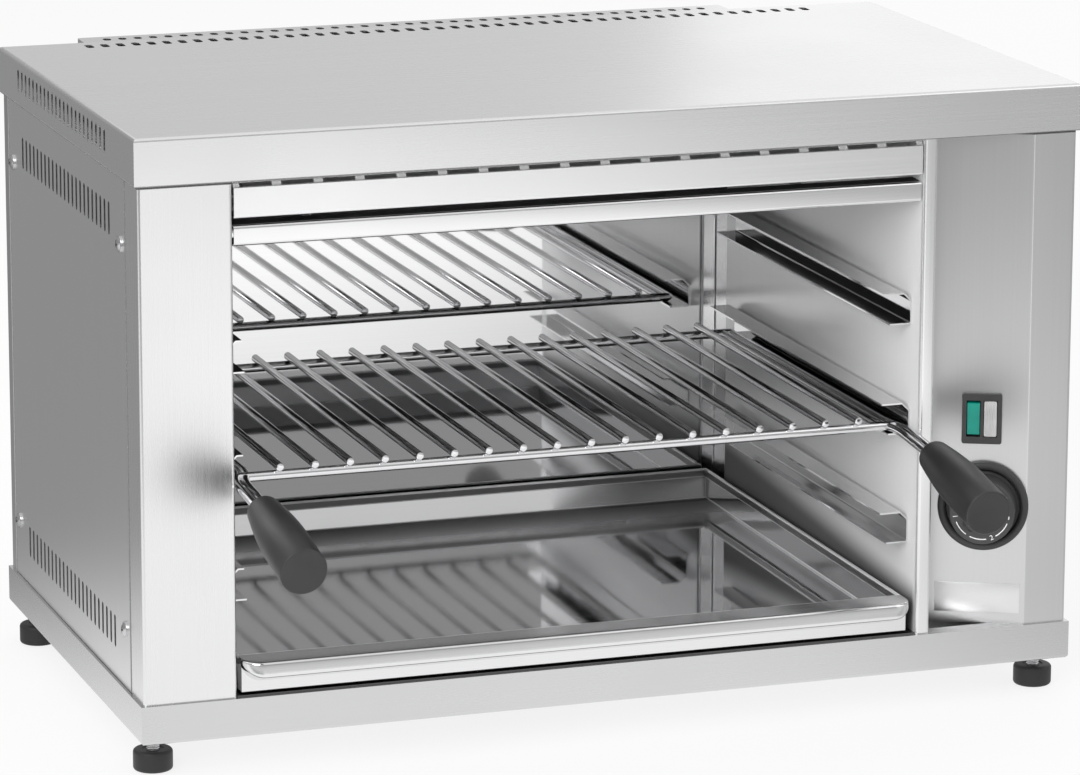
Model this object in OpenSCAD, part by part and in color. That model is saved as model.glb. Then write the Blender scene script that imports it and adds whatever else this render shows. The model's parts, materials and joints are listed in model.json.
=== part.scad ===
// Counter-top cheese melter (salamander grill): a folded sheet-metal case around an
// open cavity, a wire rack on runners, a drip tray and a slanted control panel.
// Millimetres. Z is up from the feet, X runs along the width, the front faces -Y.

/* [Case] */
// Width of the lid and the base
case_w = 600; // [560:5:680]
// Depth of the lid and the base
case_d = 340; // [325:5:400]
// Height from the underside of the base to the top of the lid
case_h = 366; // [356:2:420]
// Height of the lid's skirt
lid_skirt = 29; // [26:1:32]
// Height of the base pan
base_h = 24; // [20:1:30]
// How far the lid and the base stand proud of the walls
skin_inset = 2; // [1.5:0.5:4]
// Thickness of all sheet metal
sheet_t = 1; // [0.8:0.1:1.2]
// Outer radius of the bends
bend_r = 2.2; // [2:0.2:3]
// Gap left between sheets that lie against each other
sheet_gap = 0.1; // [0.05:0.05:0.2]

/* [Front] */
// Width of the plain column left of the cavity
left_column_w = 57.5; // [50:0.5:70]
// Width of the narrow post right of the cavity
post_w = 9.5; // [8:0.5:14]
// Width of the slanted control panel, measured across the front
panel_w = 63.8; // [62:0.2:70]
// Width of the plain column at the right corner
right_column_w = 28; // [24:0.5:32]
// Angle by which the control panel turns towards the cavity
panel_slant = 25.5; // [15:0.5:28]
// How far the corner sheets wrap round onto the sides
wrap_front = 28; // [22:1:32]
// How far the back sheet wraps round onto the sides
wrap_back = 13; // [10:1:18]
// Width of the flanges behind the side panels
side_flange = 22; // [18:1:26]

/* [Vent slots] */
// Width of a slot in the sides
side_slot_w = 4; // [3:0.5:5]
// Height of a slot in the side panels
side_slot_h = 20; // [14:1:22]
// Height of a slot in the skirt of the lid
skirt_slot_h = 14.5; // [10:0.5:16]
// Distance between slots in the sides
side_slot_pitch = 9.9; // [8:0.1:11]
// Distance from the flanges behind a side panel to the first slot
side_slot_margin = 12; // [8:1:40]
// Height of the lower slot row above the base
lower_slot_rise = 19; // [15:1:30]
// Distance from the top of the lid to the middle of the slots in its skirt
skirt_slot_drop = 13; // [11:0.5:16]
// Drop of the upper slot row below the skirt of the lid
upper_slot_drop = 20.6; // [16:0.2:30]
// Width of a slot in the top
top_slot_w = 5; // [4:0.5:6]
// Length of a slot in the lid
top_slot_len = 12; // [8:1:14]
// Distance between slots in the top
top_slot_pitch = 10.2; // [9.5:0.1:11]
// Distance from the sides of the lid to the first slot
top_slot_margin = 50; // [30:1:120]
// Distance from the slot row to the back edge of the lid
top_slot_inset = 17.5; // [12:0.5:30]

/* [Rear vent box] */
// Depth of the box behind the case
box_d = 22; // [18:1:30]
// How much wider the box is than the cavity at each side
box_margin = 2.5; // [2:0.5:6]
// Width of the flanges that hold the box
box_flange = 12; // [10:1:16]
// Length of a slot in the top of the box
box_slot_len = 8; // [6:1:10]
// Distance from the sides of the box to the first slot
box_slot_margin = 12; // [8:1:60]

/* [Front rails] */
// Height of the vented upper rail's face
upper_rail_h = 18; // [14:1:20]
// Height of the lower rail's face
lower_rail_h = 12.5; // [10:0.5:16]
// Open gap between the two rails
rail_gap = 4.5; // [3:0.5:6]
// Gap at each end of the rails
rail_end_gap = 0.8; // [0.8:0.1:4]
// Drop from the lid's skirt to the top of the upper rail's face
rail_drop = 4; // [3:0.5:6]
// Length of a slot in the upper rail
rail_slot_len = 20; // [12:1:22]
// Distance between the slots in the upper rail
rail_slot_pitch = 25.5; // [24:0.5:30]
// Height of a slot in the upper rail
rail_slot_h = 2.2; // [1.5:0.1:2.6]
// Distance from the ends of the upper rail to the first slot
rail_slot_margin = 4; // [3:0.5:20]
// Outer radius of the sharp bend along the underside of the upper rail
rail_edge_r = 1.2; // [1.2:0.1:2.2]

/* [Runners] */
// Underside of the lowest pair above the underside of the base
runner_z = 79.5; // [70:0.5:84]
// Height between the pairs
runner_pitch = 69.5; // [60:0.5:70]
// Height of a runner
runner_h = 20; // [17:0.5:22]
// Width of the lower flange of a right runner
runner_foot = 14.5; // [14:0.5:16]
// Width of the upper flange of a right runner
runner_lip = 19; // [17:0.5:20]
// Width of the lower flange of a left runner
left_runner_foot = 10.5; // [10.5:0.5:16]
// Width of the upper flange of a left runner
left_runner_lip = 9; // [8:0.5:20]
// Slanted corner between the web and the upper flange
runner_chamfer = 5; // [3:0.5:6]
// Start of the runners behind the lid's front
runner_y = 17; // [12:1:24]
// Length of the runners
runner_len = 300; // [260:5:310]

/* [Rack] */
// Diameter of the front and back bars
bar_d = 6; // [5:0.5:6.5]
// Diameter of the rods
rod_d = 5; // [4:0.5:5.5]
// Distance between the rods
rod_pitch = 21.85; // [18:0.05:30]
// Least distance from the inner side wires to the first rod
rod_margin = 6; // [4:1:12]
// Gap between the rack and the webs of the runners
rack_side_gap = 6; // [5:0.5:8.5]
// Front bar of the rack behind the lid's front
rack_y = 24; // [20:1:30]
// Distance between the front and the back bar
rack_d = 277; // [240:1:285]
// How far the rods pass over the front and back bars
rod_over = 4; // [3:0.5:5]
// Diameter of the two wires at each side
wire_d = 5; // [4:0.5:5.5]
// Distance between the two wires at each side
wire_pitch = 6; // [5.8:0.1:7]

/* [Grips] */
// Length of a grip
grip_len = 87; // [75:1:110]
// Diameter of a grip at its outer end
grip_d = 28.4; // [26:0.2:30]
// Diameter of a grip at its neck
grip_neck_d = 20.5; // [19:0.5:22]
// Distance from the lid's front to the neck
grip_y = 34; // [28:1:45]
// Distance from the cavity wall to the middle of a grip
grip_side = 6.2; // [6:0.2:10]
// Drop from the rack's frame to the middle of the neck
grip_drop = 5; // [3:0.5:8]
// Downward slope of a grip
grip_slope = 10.6; // [6:0.1:14]
// Depth of the wires inside a grip
wire_depth = 40; // [30:1:60]

/* [Drip tray] */
// Clear gap between the tray and the left cavity wall
tray_left_gap = 3.2; // [3:0.2:8]
// Clear gap between the tray and the right cavity wall
tray_right_gap = 5.6; // [3:0.2:8]
// Height of the tray
tray_h = 21; // [18:1:26]
// Front wall of the tray behind the lid's front
tray_y = 12.5; // [11:0.5:16]
// Gap between the tray and the back of the rear box
tray_back_gap = 5; // [4:0.5:9]
// Depth of the rolled front lip
lip_d = 19.5; // [17:0.5:22]
// Height of the hem round the rim
hem_h = 5; // [4:0.5:7]
// Radius of the lip's lower corners
lip_corner_r = 10.5; // [6:0.5:10.5]

/* [Heating] */
// Diameter of the tubular elements
element_d = 8; // [6.5:0.5:8.5]
// Distance between the two legs of an element
leg_pitch = 44; // [36:1:50]
// Distance between elements
element_pitch = 90; // [80:1:95]
// Middle of the elements below the reflector
element_drop = 23; // [20:1:26]
// Height of the reflector above the lower rail's underside
reflector_rise = 33; // [31:1:34]
// Height of the rims folded down at the front and the back of the reflector
reflector_rim = 8; // [6:1:10]
// Distance from the left cavity wall to the left hanger
left_hanger_inset = 62; // [56:1:100]
// Distance from the right cavity wall to the right hanger
right_hanger_inset = 60; // [30:1:100]

/* [Controls] */
// Width of the switch frame
switch_w = 24.8; // [22:0.2:28]
// Height of the switch frame
switch_h = 32; // [28:0.5:34]
// Middle of the switch above the underside of the base
switch_z = 155.8; // [150:0.2:180]
// Distance from the panel's outer bend to the middle of the switch
switch_x = 28.8; // [26:0.2:34]
// Width of the frame beside its windows
switch_rim = 3.2; // [2.4:0.2:4]
// Height of the frame above and below its windows
switch_end = 4.8; // [3:0.2:6]
// Width of the bar between the two windows
window_gap = 2.6; // [2:0.2:3]
// Diameter of the ring round the knob
dial_d = 56.5; // [50:0.5:57]
// Width of the ring round the knob
dial_ring_w = 4.8; // [4:0.2:6]
// Middle of the knob above the underside of the base
dial_z = 100.2; // [90:0.2:104]
// Distance from the panel's outer bend to the middle of the knob
dial_x = 27; // [26.5:0.5:34]
// Height of the knob's face above the panel
knob_h = 20; // [14:1:24]
// Diameter of the knob's face
knob_face_d = 40.4; // [34:0.2:42]
// Height of the bar across the knob's face
knob_bar_h = 7; // [5:0.5:12]
// Width of the bar across the knob's face
knob_bar_w = 9; // [7:0.5:12]
// Length of the bar across the knob's face
knob_bar_len = 27; // [20:1:34]
// Diameter of the shaft of the regulator
shaft_d = 6; // [5:0.5:7]
// Width and height of the regulator's body
regulator_w = 42; // [36:1:44]
// Depth of the regulator's body
regulator_h = 30; // [24:1:36]

/* [Feet] */
// Clear height under the base
foot_h = 22; // [19:0.5:28]
// Diameter of the rubber
foot_d = 24; // [20:1:24]
// Height of the rubber
rubber_h = 13; // [8:0.5:14]
// Distance from the side of the base to the middle of a foot
foot_inset_x = 13; // [12.5:0.5:24]
// Distance from the front and the back of the base to the middle of a foot
foot_inset_y = 25; // [16:0.5:40]
// Diameter of the threaded stud
stud_d = 8; // [6:0.5:8]

/* [Hidden] */

$fn = 48;
cut = 1;                  // how far cutting shapes reach past a surface
bend_steps = 4;           // flat steps in a bend
shaft_clear = 0.05;       // running clearance round shafts, studs and elements
slide_clear = 0.3;        // lift of the rack and the tray over what they slide on

// Plan of the front, from left to right
skin_w = case_w / 2 - skin_inset;
skin_y = skin_inset;
panel_x1 = skin_w - right_column_w;
panel_x0 = panel_x1 - panel_w;
post_x1 = panel_x0 - 2 * sheet_gap;
cavity_x0 = -skin_w + left_column_w;
cavity_x1 = post_x1 - post_w;
cavity_w = cavity_x1 - cavity_x0;
cavity_mid = (cavity_x0 + cavity_x1) / 2;
panel_y0 = skin_y + (panel_x1 - panel_x0) * tan(panel_slant);
post_back_y = panel_y0 - 1.2;
seam_front_y = skin_y + wrap_front;
back_y = case_d - skin_inset;
seam_back_y = back_y - wrap_back;
joggle = sheet_t + sheet_gap;
screw_y0 = seam_front_y + 12;
screw_y1 = seam_back_y - 12;
screw_edge_z = 37;

// Heights above the underside of the base
skirt_z = case_h - lid_skirt;
column_top = case_h - sheet_t;
floor_z = base_h + sheet_t;
upper_rail_top = skirt_z - rail_drop;
upper_rail_z = upper_rail_top - upper_rail_h;
lower_rail_top = upper_rail_z - rail_gap;
lower_rail_z = lower_rail_top - lower_rail_h;
reflector_z = lower_rail_z + reflector_rise;
rail_slope = 6.5;

// Rear vent box
box_x0 = cavity_x0 - box_margin;
box_x1 = cavity_x1 + box_margin;
box_y1 = case_d + box_d;
box_top = case_h - sheet_t;

// How many copies of width w fit side by side in a length
function fitting(length, w, pitch) = floor((length - w) / pitch) + 1;

side_slot_count = fitting(seam_back_y - seam_front_y - 2 * (side_flange + side_slot_margin),
    side_slot_w, side_slot_pitch);
top_slot_count = fitting(case_w - 2 * top_slot_margin, top_slot_w, top_slot_pitch);
box_slot_count = fitting(box_x1 - box_x0 - 2 * box_slot_margin, top_slot_w, top_slot_pitch);
rail_slot_count = fitting(cavity_w - 2 * rail_slot_margin, rail_slot_len, rail_slot_pitch);

// Rack
bar_r = bar_d / 2;
wire_r = wire_d / 2;
bend_bulge = 0.3;         // how much thicker a wire is at a bend
outer_wire = cavity_w / 2 - sheet_t - rack_side_gap - wire_r;
inner_wire = outer_wire - wire_pitch;
front_bar = outer_wire + wire_r;
jog = 10;                 // how far before and behind the front bar the wires bend outwards
rack_level = runner_z + runner_pitch + sheet_t;
rack_z = rack_level + slide_clear + bar_r;
rod_z = rack_z + bar_r + rod_d / 2 + 0.02;
rod_count = fitting(2 * (inner_wire - rod_margin), rod_d, rod_pitch);

// Grips: the neck's middle, and the far end of the grip
grip_half = cavity_w / 2 - grip_side;
neck_z = rack_z - grip_drop;
grip_front = grip_y + grip_len * cos(grip_slope) + grip_d / 2 * sin(grip_slope);

// Tray
tray_x0 = cavity_x0 + tray_left_gap;
tray_x1 = cavity_x1 - tray_right_gap;
tray_y1 = box_y1 - sheet_t - tray_back_gap;
tray_z = floor_z + slide_clear;
tray_top = tray_z + tray_h;
tray_t = 0.8;
lip_z = tray_top - tray_t;
lip_h = 11;
nose_y = tray_y - lip_d;
apron_y = tray_y - 8;

// Heating
element_r = element_d / 2;
element_z = reflector_z - element_drop;
element_rows = [for (i = [-1 : 1]) case_d / 2 + 10 + i * element_pitch];
leg_rows = [for (y = element_rows, s = [-1, 1]) y + s * leg_pitch / 2];
element_turn_x = cavity_x0 + 6 + leg_pitch / 2 + element_r;
hanger_xs = [cavity_x0 + left_hanger_inset, cavity_x1 - right_hanger_inset];
hanger_margin = 14;
bushing_r = element_r + 4;

// The frame of the whole part: the box of everything at rest, middle of its underside
frame_y = (box_y1 - grip_front) / 2;

// ---- Places -------------------------------------------------------------------

// Puts the case's own frame (Y from the lid's front, Z from the base) in the part's frame
module in_case() translate([0, -frame_y, foot_h]) children();

// A shape drawn in Y and Z, made solid along X from x0 over w
module along_x(x0, w) translate([x0, 0, 0]) rotate([90, 0, 90]) linear_extrude(w) children();

// A shape drawn in X and Z, made solid along Y from y0 over d
module along_y(y0, d) translate([0, y0 + d, 0]) rotate([90, 0, 0]) linear_extrude(d) children();

// A shape drawn in X and Y, made solid along Z from z0 over h
module along_z(z0, h) translate([0, 0, z0]) linear_extrude(h) children();

// A point on the slanted panel: u from the outer bend, z up; Z points out of the panel
module on_panel(u, z)
    translate([panel_x1 - u * cos(panel_slant), skin_y + u * sin(panel_slant), z])
        rotate([90, 0, -panel_slant]) children();

// ---- Bent sheet ---------------------------------------------------------------

function unit(v) = v / norm(v);
function left_of(v) = [-v[1], v[0]];

// Round corner b between a and c
function corner(a, b, c, r) =
    let (u = unit(a - b), v = unit(c - b), half = acos(u * v) / 2,
         mid = b + unit(u + v) * r / sin(half), start = b + u * r / tan(half) - mid,
         turn = sign(cross(b - a, c - b)) * (180 - 2 * half))
    [for (k = [0 : bend_steps])
        let (w = turn * k / bend_steps)
        mid + [start[0] * cos(w) - start[1] * sin(w), start[0] * sin(w) + start[1] * cos(w)]];

// A line whose inner corners are rounded by the radii given, 0 for a sharp one
function bent(p, radii) = [for (i = [0 : len(p) - 1])
    each (i == 0 || i == len(p) - 1 || radii[i] == 0) ? [p[i]]
        : corner(p[i - 1], p[i], p[i + 1], radii[i])];

function mitre(a, b, c, t) =
    let (n = left_of(unit(b - a)), m = left_of(unit(c - b))) b + t * (n + m) / (1 + n * m);

// The line moved to its left by t
function beside(p, t) = [for (i = [0 : len(p) - 1])
    i == 0 ? p[0] + t * left_of(unit(p[1] - p[0]))
    : i == len(p) - 1 ? p[i] + t * left_of(unit(p[i] - p[i - 1]))
    : mitre(p[i - 1], p[i], p[i + 1], t)];

function reversed(p) = [for (i = [len(p) - 1 : -1 : 0]) p[i]];

// Cross-section of a sheet bent along line p; its metal lies to the left for t > 0
module sheet(p, radii, t) {
    line = bent(p, radii);
    polygon(concat(line, reversed(beside(line, t))));
}

// ---- Small shapes -------------------------------------------------------------

// Slot with round ends, w wide and h long, centred
module slot(w, h) {
    square([w, h - w], center = true);
    for (s = [-1, 1]) translate([0, s * (h - w) / 2]) circle(d = w, $fn = 16);
}

// A row of children, centred
module row(count, pitch)
    for (i = [0 : count - 1]) translate([(i - (count - 1) / 2) * pitch, 0]) children();

// Round bar from a to b
module bar(a, b, r) {
    v = b - a;
    translate(a) rotate([0, acos(v[2] / norm(v)), atan2(v[1], v[0])])
        cylinder(r = r, h = norm(v));
}

// Pan head of a screw on the plane z = 0, with a cross recess
module pan_head(d, h) difference() {
    rotate_extrude() {
        square([d / 2, h * 0.4]);
        intersection() {
            translate([0, h * 0.4 - d * 0.42]) circle(r = d * 0.42 + h * 0.6);
            translate([0, h * 0.39]) square([d / 2, h]);
        }
    }
    for (a = [0, 90]) rotate(a)
        translate([-d * 0.25, -d * 0.06, h * 0.5]) cube([d * 0.5, d * 0.12, h]);
}

// ---- Lid and base -------------------------------------------------------------

// Pan seen from one side: w by h, its two lower corners rounded, moved in by t
module pan_section(w, h, t, r)
    polygon(concat([[t, h]], corner([t, h], [t, t], [w - t, t], r),
        corner([t, t], [w - t, t], [w - t, h], r), [[w - t, h]]));

// Solid with the rounded outline of a pan, moved in by t, open side up
module pan_block(h, t) intersection() {
    r = bend_r - t + 0.2;
    along_x(-case_w / 2, case_w) pan_section(case_d, h, t, r);
    translate([-case_w / 2, 0, 0]) along_y(0, case_d) pan_section(case_w, h, t, r);
}

// Slots of one row of the side vents, drawn in Y and Z
module side_slots(h) translate([(seam_front_y + seam_back_y) / 2, 0])
    row(side_slot_count, side_slot_pitch) slot(side_slot_w, h);

module lid() color("silver") in_case() difference() {
    translate([0, 0, case_h]) mirror([0, 0, 1]) difference() {
        pan_block(lid_skirt, 0);
        pan_block(lid_skirt + cut, sheet_t);
    }
    along_z(case_h - sheet_t - cut, sheet_t + 2 * cut) translate([0, case_d - top_slot_inset])
        row(top_slot_count, top_slot_pitch) slot(top_slot_w, top_slot_len);
    along_x(-case_w / 2 - cut, case_w + 2 * cut) translate([0, case_h - skirt_slot_drop])
        side_slots(skirt_slot_h);
}

module at_feet() for (x = [-1, 1], y = [foot_inset_y, case_d - foot_inset_y])
    translate([x * (case_w / 2 - foot_inset_x), y, 0]) children();

// Base pan with flanges folded inwards along its rim
module base_pan() color("gainsboro") in_case() {
    flange = 12;
    difference() {
        pan_block(base_h, 0);
        intersection() {
            pan_block(base_h, sheet_t);
            translate([-case_w / 2, 0, 0]) cube([case_w, case_d, base_h - sheet_t]);
        }
        translate([-case_w / 2 + flange, flange, base_h / 2])
            cube([case_w - 2 * flange, case_d - 2 * flange, base_h]);
        at_feet() translate([0, 0, -cut])
            cylinder(d = stud_d + 2 * shaft_clear, h = sheet_t + 2 * cut);
    }
}

// ---- Walls --------------------------------------------------------------------

wall_h = column_top - base_h;
wall_radii = [0, bend_r, bend_r, bend_r, 0, 0, 0];

// Left column: flange on the back panel, cavity wall, front face, side wrap, hidden flange
module left_column() color("whitesmoke") in_case() along_z(base_h, wall_h)
    sheet([[cavity_x0 - box_flange, back_y - joggle], [cavity_x0, back_y - joggle],
        [cavity_x0, skin_y], [-skin_w, skin_y], [-skin_w, seam_front_y - joggle / 2],
        [-skin_w + joggle, seam_front_y + joggle / 2],
        [-skin_w + joggle, seam_front_y + side_flange]], wall_radii, -sheet_t);

// Right post: flange on the back panel, cavity wall, post face and its return
module right_post() color("whitesmoke") in_case() difference() {
    along_z(base_h, wall_h)
        sheet([[cavity_x1 + box_flange, back_y - joggle], [cavity_x1, back_y - joggle],
            [cavity_x1, skin_y], [post_x1, skin_y], [post_x1, post_back_y]],
            [0, bend_r, bend_r, bend_r, 0], sheet_t);
    for (y = leg_rows) translate([cavity_x1 - cut, y, element_z]) rotate([0, 90, 0])
        cylinder(r = element_r + shaft_clear, h = sheet_t + 2 * cut);
}

// Control panel: hidden flange, slanted face, right column, side wrap, hidden flange
module control_panel() color("lightgray") in_case() difference() {
    along_z(base_h, wall_h)
        sheet([[panel_x0, panel_y0 + 12], [panel_x0, panel_y0], [panel_x1, skin_y],
            [skin_w, skin_y], [skin_w, seam_front_y - joggle / 2],
            [skin_w - joggle, seam_front_y + joggle / 2],
            [skin_w - joggle, seam_front_y + side_flange]], wall_radii, sheet_t);
    on_panel(switch_x, switch_z) translate([0, 0, -sheet_t - cut])
        along_z(0, sheet_t + 2 * cut) square([switch_w - 4, switch_h - 4], center = true);
    on_panel(dial_x, dial_z) translate([0, 0, -sheet_t - cut])
        cylinder(d = shaft_d + 6, h = sheet_t + 2 * cut);
}

gland_x = (cavity_x1 + skin_w) / 2;
gland_z = base_h + 30;
gland_thread_r = 10;

// Back panel: wraps round both rear corners, open behind the cavity
module back_panel() color("silver") in_case() difference() {
    along_z(base_h, wall_h)
        sheet([[-skin_w + joggle, seam_back_y - side_flange],
            [-skin_w + joggle, seam_back_y - joggle / 2], [-skin_w, seam_back_y + joggle / 2],
            [-skin_w, back_y], [skin_w, back_y], [skin_w, seam_back_y + joggle / 2],
            [skin_w - joggle, seam_back_y - joggle / 2],
            [skin_w - joggle, seam_back_y - side_flange]],
            [0, 0, 0, bend_r, bend_r, 0, 0, 0], -sheet_t);
    translate([cavity_x0 - sheet_t, back_y - 2 * sheet_t, base_h - cut])
        cube([cavity_w + 2 * sheet_t, 4 * sheet_t, reflector_z - base_h + cut]);
    translate([gland_x, back_y + cut, gland_z]) rotate([90, 0, 0])
        cylinder(r = gland_thread_r + sheet_gap, h = sheet_t + 2 * cut);
}

// Flat side panel with two rows of slots and a fold along its foot
module side_panel() {
    lift = 0.3;
    edge = 0.5;
    y0 = seam_front_y + edge;
    y1 = seam_back_y - edge;
    difference() {
        along_x(-skin_w, sheet_t)
            translate([y0, base_h + lift]) square([y1 - y0, wall_h - lift - 12]);
        along_x(-skin_w - cut, sheet_t + 2 * cut) {
            translate([0, base_h + lower_slot_rise + side_slot_h / 2]) side_slots(side_slot_h);
            translate([0, skirt_z - upper_slot_drop - side_slot_h / 2])
                side_slots(side_slot_h);
        }
        for (y = [screw_y0, screw_y1], z = screw_zs)
            translate([-skin_w - cut, y, z]) rotate([0, 90, 0])
                cylinder(d = screw_hole, h = sheet_t + 2 * cut);
    }
    translate([-skin_w, seam_front_y + side_flange + 1, base_h + lift])
        cube([8, seam_back_y - seam_front_y - 2 * side_flange - 2, sheet_t]);
}

screw_hole = 5.2;
screw_d = 10;
screw_head_h = 3;
screw_zs = [base_h + screw_edge_z, skirt_z - screw_edge_z - 4];

// Four pan-head screws on the left side
module side_screws() for (y = [screw_y0, screw_y1], z = screw_zs)
    translate([-skin_w, y, z]) rotate([0, -90, 0]) {
        pan_head(screw_d, screw_head_h);
        translate([0, 0, -sheet_t]) cylinder(d = screw_hole, h = sheet_t + 0.01);
    }

module left_side_panel() color("darkgray") in_case() side_panel();
module right_side_panel() color("darkgray") in_case() mirror([1, 0, 0]) side_panel();
module left_side_screws() color("lightslategray") in_case() side_screws();
module right_side_screws() color("lightslategray") in_case() mirror([1, 0, 0]) side_screws();

// ---- Rear vent box --------------------------------------------------------------

module rear_vent_box() color("silver") in_case() {
    face = back_y + sheet_t;
    step_y = case_d + sheet_gap;
    difference() {
        along_z(base_h, box_top - base_h)
            sheet([[box_x0 - box_flange, face], [box_x0, face], [box_x0, box_y1],
                [box_x1, box_y1], [box_x1, face], [box_x1 + box_flange, face]],
                [0, 0, bend_r, bend_r, 0, 0], -sheet_t);
        translate([box_x0 - 2 * box_flange, back_y - cut, skirt_z - 0.5])
            cube([box_x1 - box_x0 + 4 * box_flange, step_y - back_y + cut, lid_skirt + cut]);
        at_box_screws() translate([0, 0, -cut]) cylinder(d = 3.6, h = sheet_t + 2 * cut);
    }
    difference() {
        translate([box_x0 + sheet_t / 2, step_y, box_top - sheet_t])
            cube([box_x1 - box_x0 - sheet_t, box_y1 - sheet_t / 2 - step_y, sheet_t]);
        along_z(box_top - sheet_t - cut, sheet_t + 2 * cut)
            translate([cavity_mid, (step_y + box_y1) / 2])
                row(box_slot_count, top_slot_pitch) slot(top_slot_w, box_slot_len);
    }
    translate([box_x0 + sheet_t / 2, back_y, base_h])
        cube([box_x1 - box_x0 - sheet_t, box_y1 - sheet_t / 2 - back_y, sheet_t]);
}

module at_box_screws()
    for (x = [box_x0 - box_flange / 2, box_x1 + box_flange / 2], z = [base_h + 40, skirt_z - 40])
        translate([x, back_y, z]) rotate([-90, 0, 0]) children();

module rear_box_screws() color("lightslategray") in_case() at_box_screws() {
    translate([0, 0, sheet_t]) pan_head(7, 2.4);
    cylinder(d = 3.6, h = sheet_t + 0.01);
}

// ---- Inside the cavity ------------------------------------------------------------

inner_x0 = cavity_x0 + sheet_gap;
inner_w = cavity_w - 2 * sheet_gap;

module cavity_floor() color("gray") in_case()
    translate([inner_x0, skin_y + 1, base_h])
        cube([inner_w, back_y - sheet_gap - skin_y - 1, sheet_t]);

// Shallow upside-down tray that throws the heat down
module reflector() color("silver") in_case() along_x(inner_x0, inner_w)
    sheet([[rail_flange_y + 2, reflector_z - reflector_rim], [rail_flange_y + 2, reflector_z],
        [back_y - joggle, reflector_z], [back_y - joggle, reflector_z - reflector_rim]],
        [0, bend_r, bend_r, 0], -sheet_t);

rail_flange_y = 30;
rail_end_y = 14;

// Rail profile made solid from wall to wall, its face cut short at both ends
module rail(p, radii) difference() {
    along_x(inner_x0, inner_w) sheet(p, radii, -sheet_t);
    for (x = [inner_x0 - cut, inner_x0 + inner_w - rail_end_gap])
        translate([x, -cut, lower_rail_z - cut])
            cube([rail_end_gap + cut, rail_end_y + cut, case_h]);
}

// Upper rail with a sloping shoulder, cut by a row of slots
module upper_front_rail() color("whitesmoke") in_case() difference() {
    rail([[rail_end_y + 6, upper_rail_z], [skin_y, upper_rail_z], [skin_y, upper_rail_top],
        [skin_y + rail_slope, upper_rail_top + rail_slope],
        [rail_flange_y, upper_rail_top + rail_slope]], [0, rail_edge_r, 0, bend_r, 0]);
    translate([cavity_mid, skin_y - cut, upper_rail_top + 0.3])
        row(rail_slot_count, rail_slot_pitch) translate([-rail_slot_len / 2, 0, 0])
            cube([rail_slot_len, cut + rail_slope, rail_slot_h]);
}

module lower_front_rail() color("whitesmoke") in_case()
    rail([[rail_end_y + 10, lower_rail_z], [skin_y + 1, lower_rail_z],
        [skin_y + 1, lower_rail_top], [rail_end_y + 6, lower_rail_top]],
        [0, bend_r, bend_r, 0]);

// C-shaped runner on the wall x = 0, its flanges towards +X: level 0 is the lowest
module runner(level, foot, lip) translate([0, 0, runner_z + level * runner_pitch])
    along_y(runner_y, runner_len)
        sheet([[foot, 0], [0, 0], [0, runner_h - runner_chamfer],
            [runner_chamfer, runner_h], [lip, runner_h]], [0, 1.6, 0, 0, 0], -sheet_t);

// On the left wall, where the flanges are narrow
module left_runner(level) translate([cavity_x0, 0, 0])
    runner(level, left_runner_foot, left_runner_lip);

// On the right wall
module right_runner(level) translate([cavity_x1, 0, 0]) mirror([1, 0, 0])
    runner(level, runner_foot, runner_lip);

module runner_left_low() color("lightgray") in_case() left_runner(0);
module runner_left_mid() color("lightgray") in_case() left_runner(1);
module runner_left_top() color("lightgray") in_case() left_runner(2);
module runner_right_low() color("lightgray") in_case() right_runner(0);
module runner_right_mid() color("lightgray") in_case() right_runner(1);
module runner_right_top() color("lightgray") in_case() right_runner(2);

// ---- Heating ----------------------------------------------------------------------

element_x1 = cavity_x1 + 30;

// Hairpin element: two legs, a turn at the left and a terminal pin on each end
module element(y) translate([0, y, element_z]) {
    for (s = [-1, 1]) translate([element_turn_x, s * leg_pitch / 2, 0]) rotate([0, 90, 0]) {
        cylinder(r = element_r, h = element_x1 - element_turn_x);
        cylinder(r = element_r * 0.4, h = element_x1 - element_turn_x + 8);
    }
    translate([element_turn_x, 0, 0]) rotate([0, 0, 90]) rotate_extrude(angle = 180)
        translate([leg_pitch / 2, 0]) circle(r = element_r);
}

module heating_elements() color("dimgray") in_case() for (y = element_rows) element(y);

// Two drilled plates that hang the legs under the reflector
module element_hangers() color("silver") in_case() for (x = hanger_xs) {
    y0 = leg_rows[0] - hanger_margin;
    d = leg_rows[5] - leg_rows[0] + 2 * hanger_margin;
    top = reflector_z - sheet_t;
    z0 = element_z - element_r - 4;
    difference() {
        translate([x, y0, z0]) cube([sheet_t, d, top - z0]);
        for (y = leg_rows) translate([x - cut, y, element_z]) rotate([0, 90, 0])
            cylinder(r = element_r + shaft_clear, h = sheet_t + 2 * cut);
    }
    translate([x, y0, top - sheet_t]) cube([10, d, sheet_t]);
}

// Bushings that fix the legs in the wall between cavity and controls
module element_bushings() color("gainsboro") in_case() for (y = leg_rows)
    translate([cavity_x1 + sheet_t, y, element_z]) rotate([0, 90, 0]) difference() {
        union() {
            cylinder(r = bushing_r, h = 2);
            cylinder(r = bushing_r - 1.5, h = 8);
        }
        translate([0, 0, -cut]) cylinder(r = element_r + shaft_clear, h = 8 + 2 * cut);
    }

// ---- Rack ---------------------------------------------------------------------------

// One wire at x: straight along the runner, outwards at the front bar, then down into a grip
module side_wire(x, grip_x) {
    into = [0, -cos(grip_slope), -sin(grip_slope)];
    neck = [grip_x, -grip_y, neck_z];
    points = [[x, rack_y + rack_d, rack_z], [x, rack_y + jog, rack_z],
        [grip_x, rack_y - jog, rack_z - 0.5], neck - 4 * into, neck + wire_depth * into];
    for (i = [1 : 4]) bar(points[i - 1], points[i], wire_r);
    for (i = [1 : 3]) translate(points[i]) sphere(r = wire_r + bend_bulge, $fn = 20);
}

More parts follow.
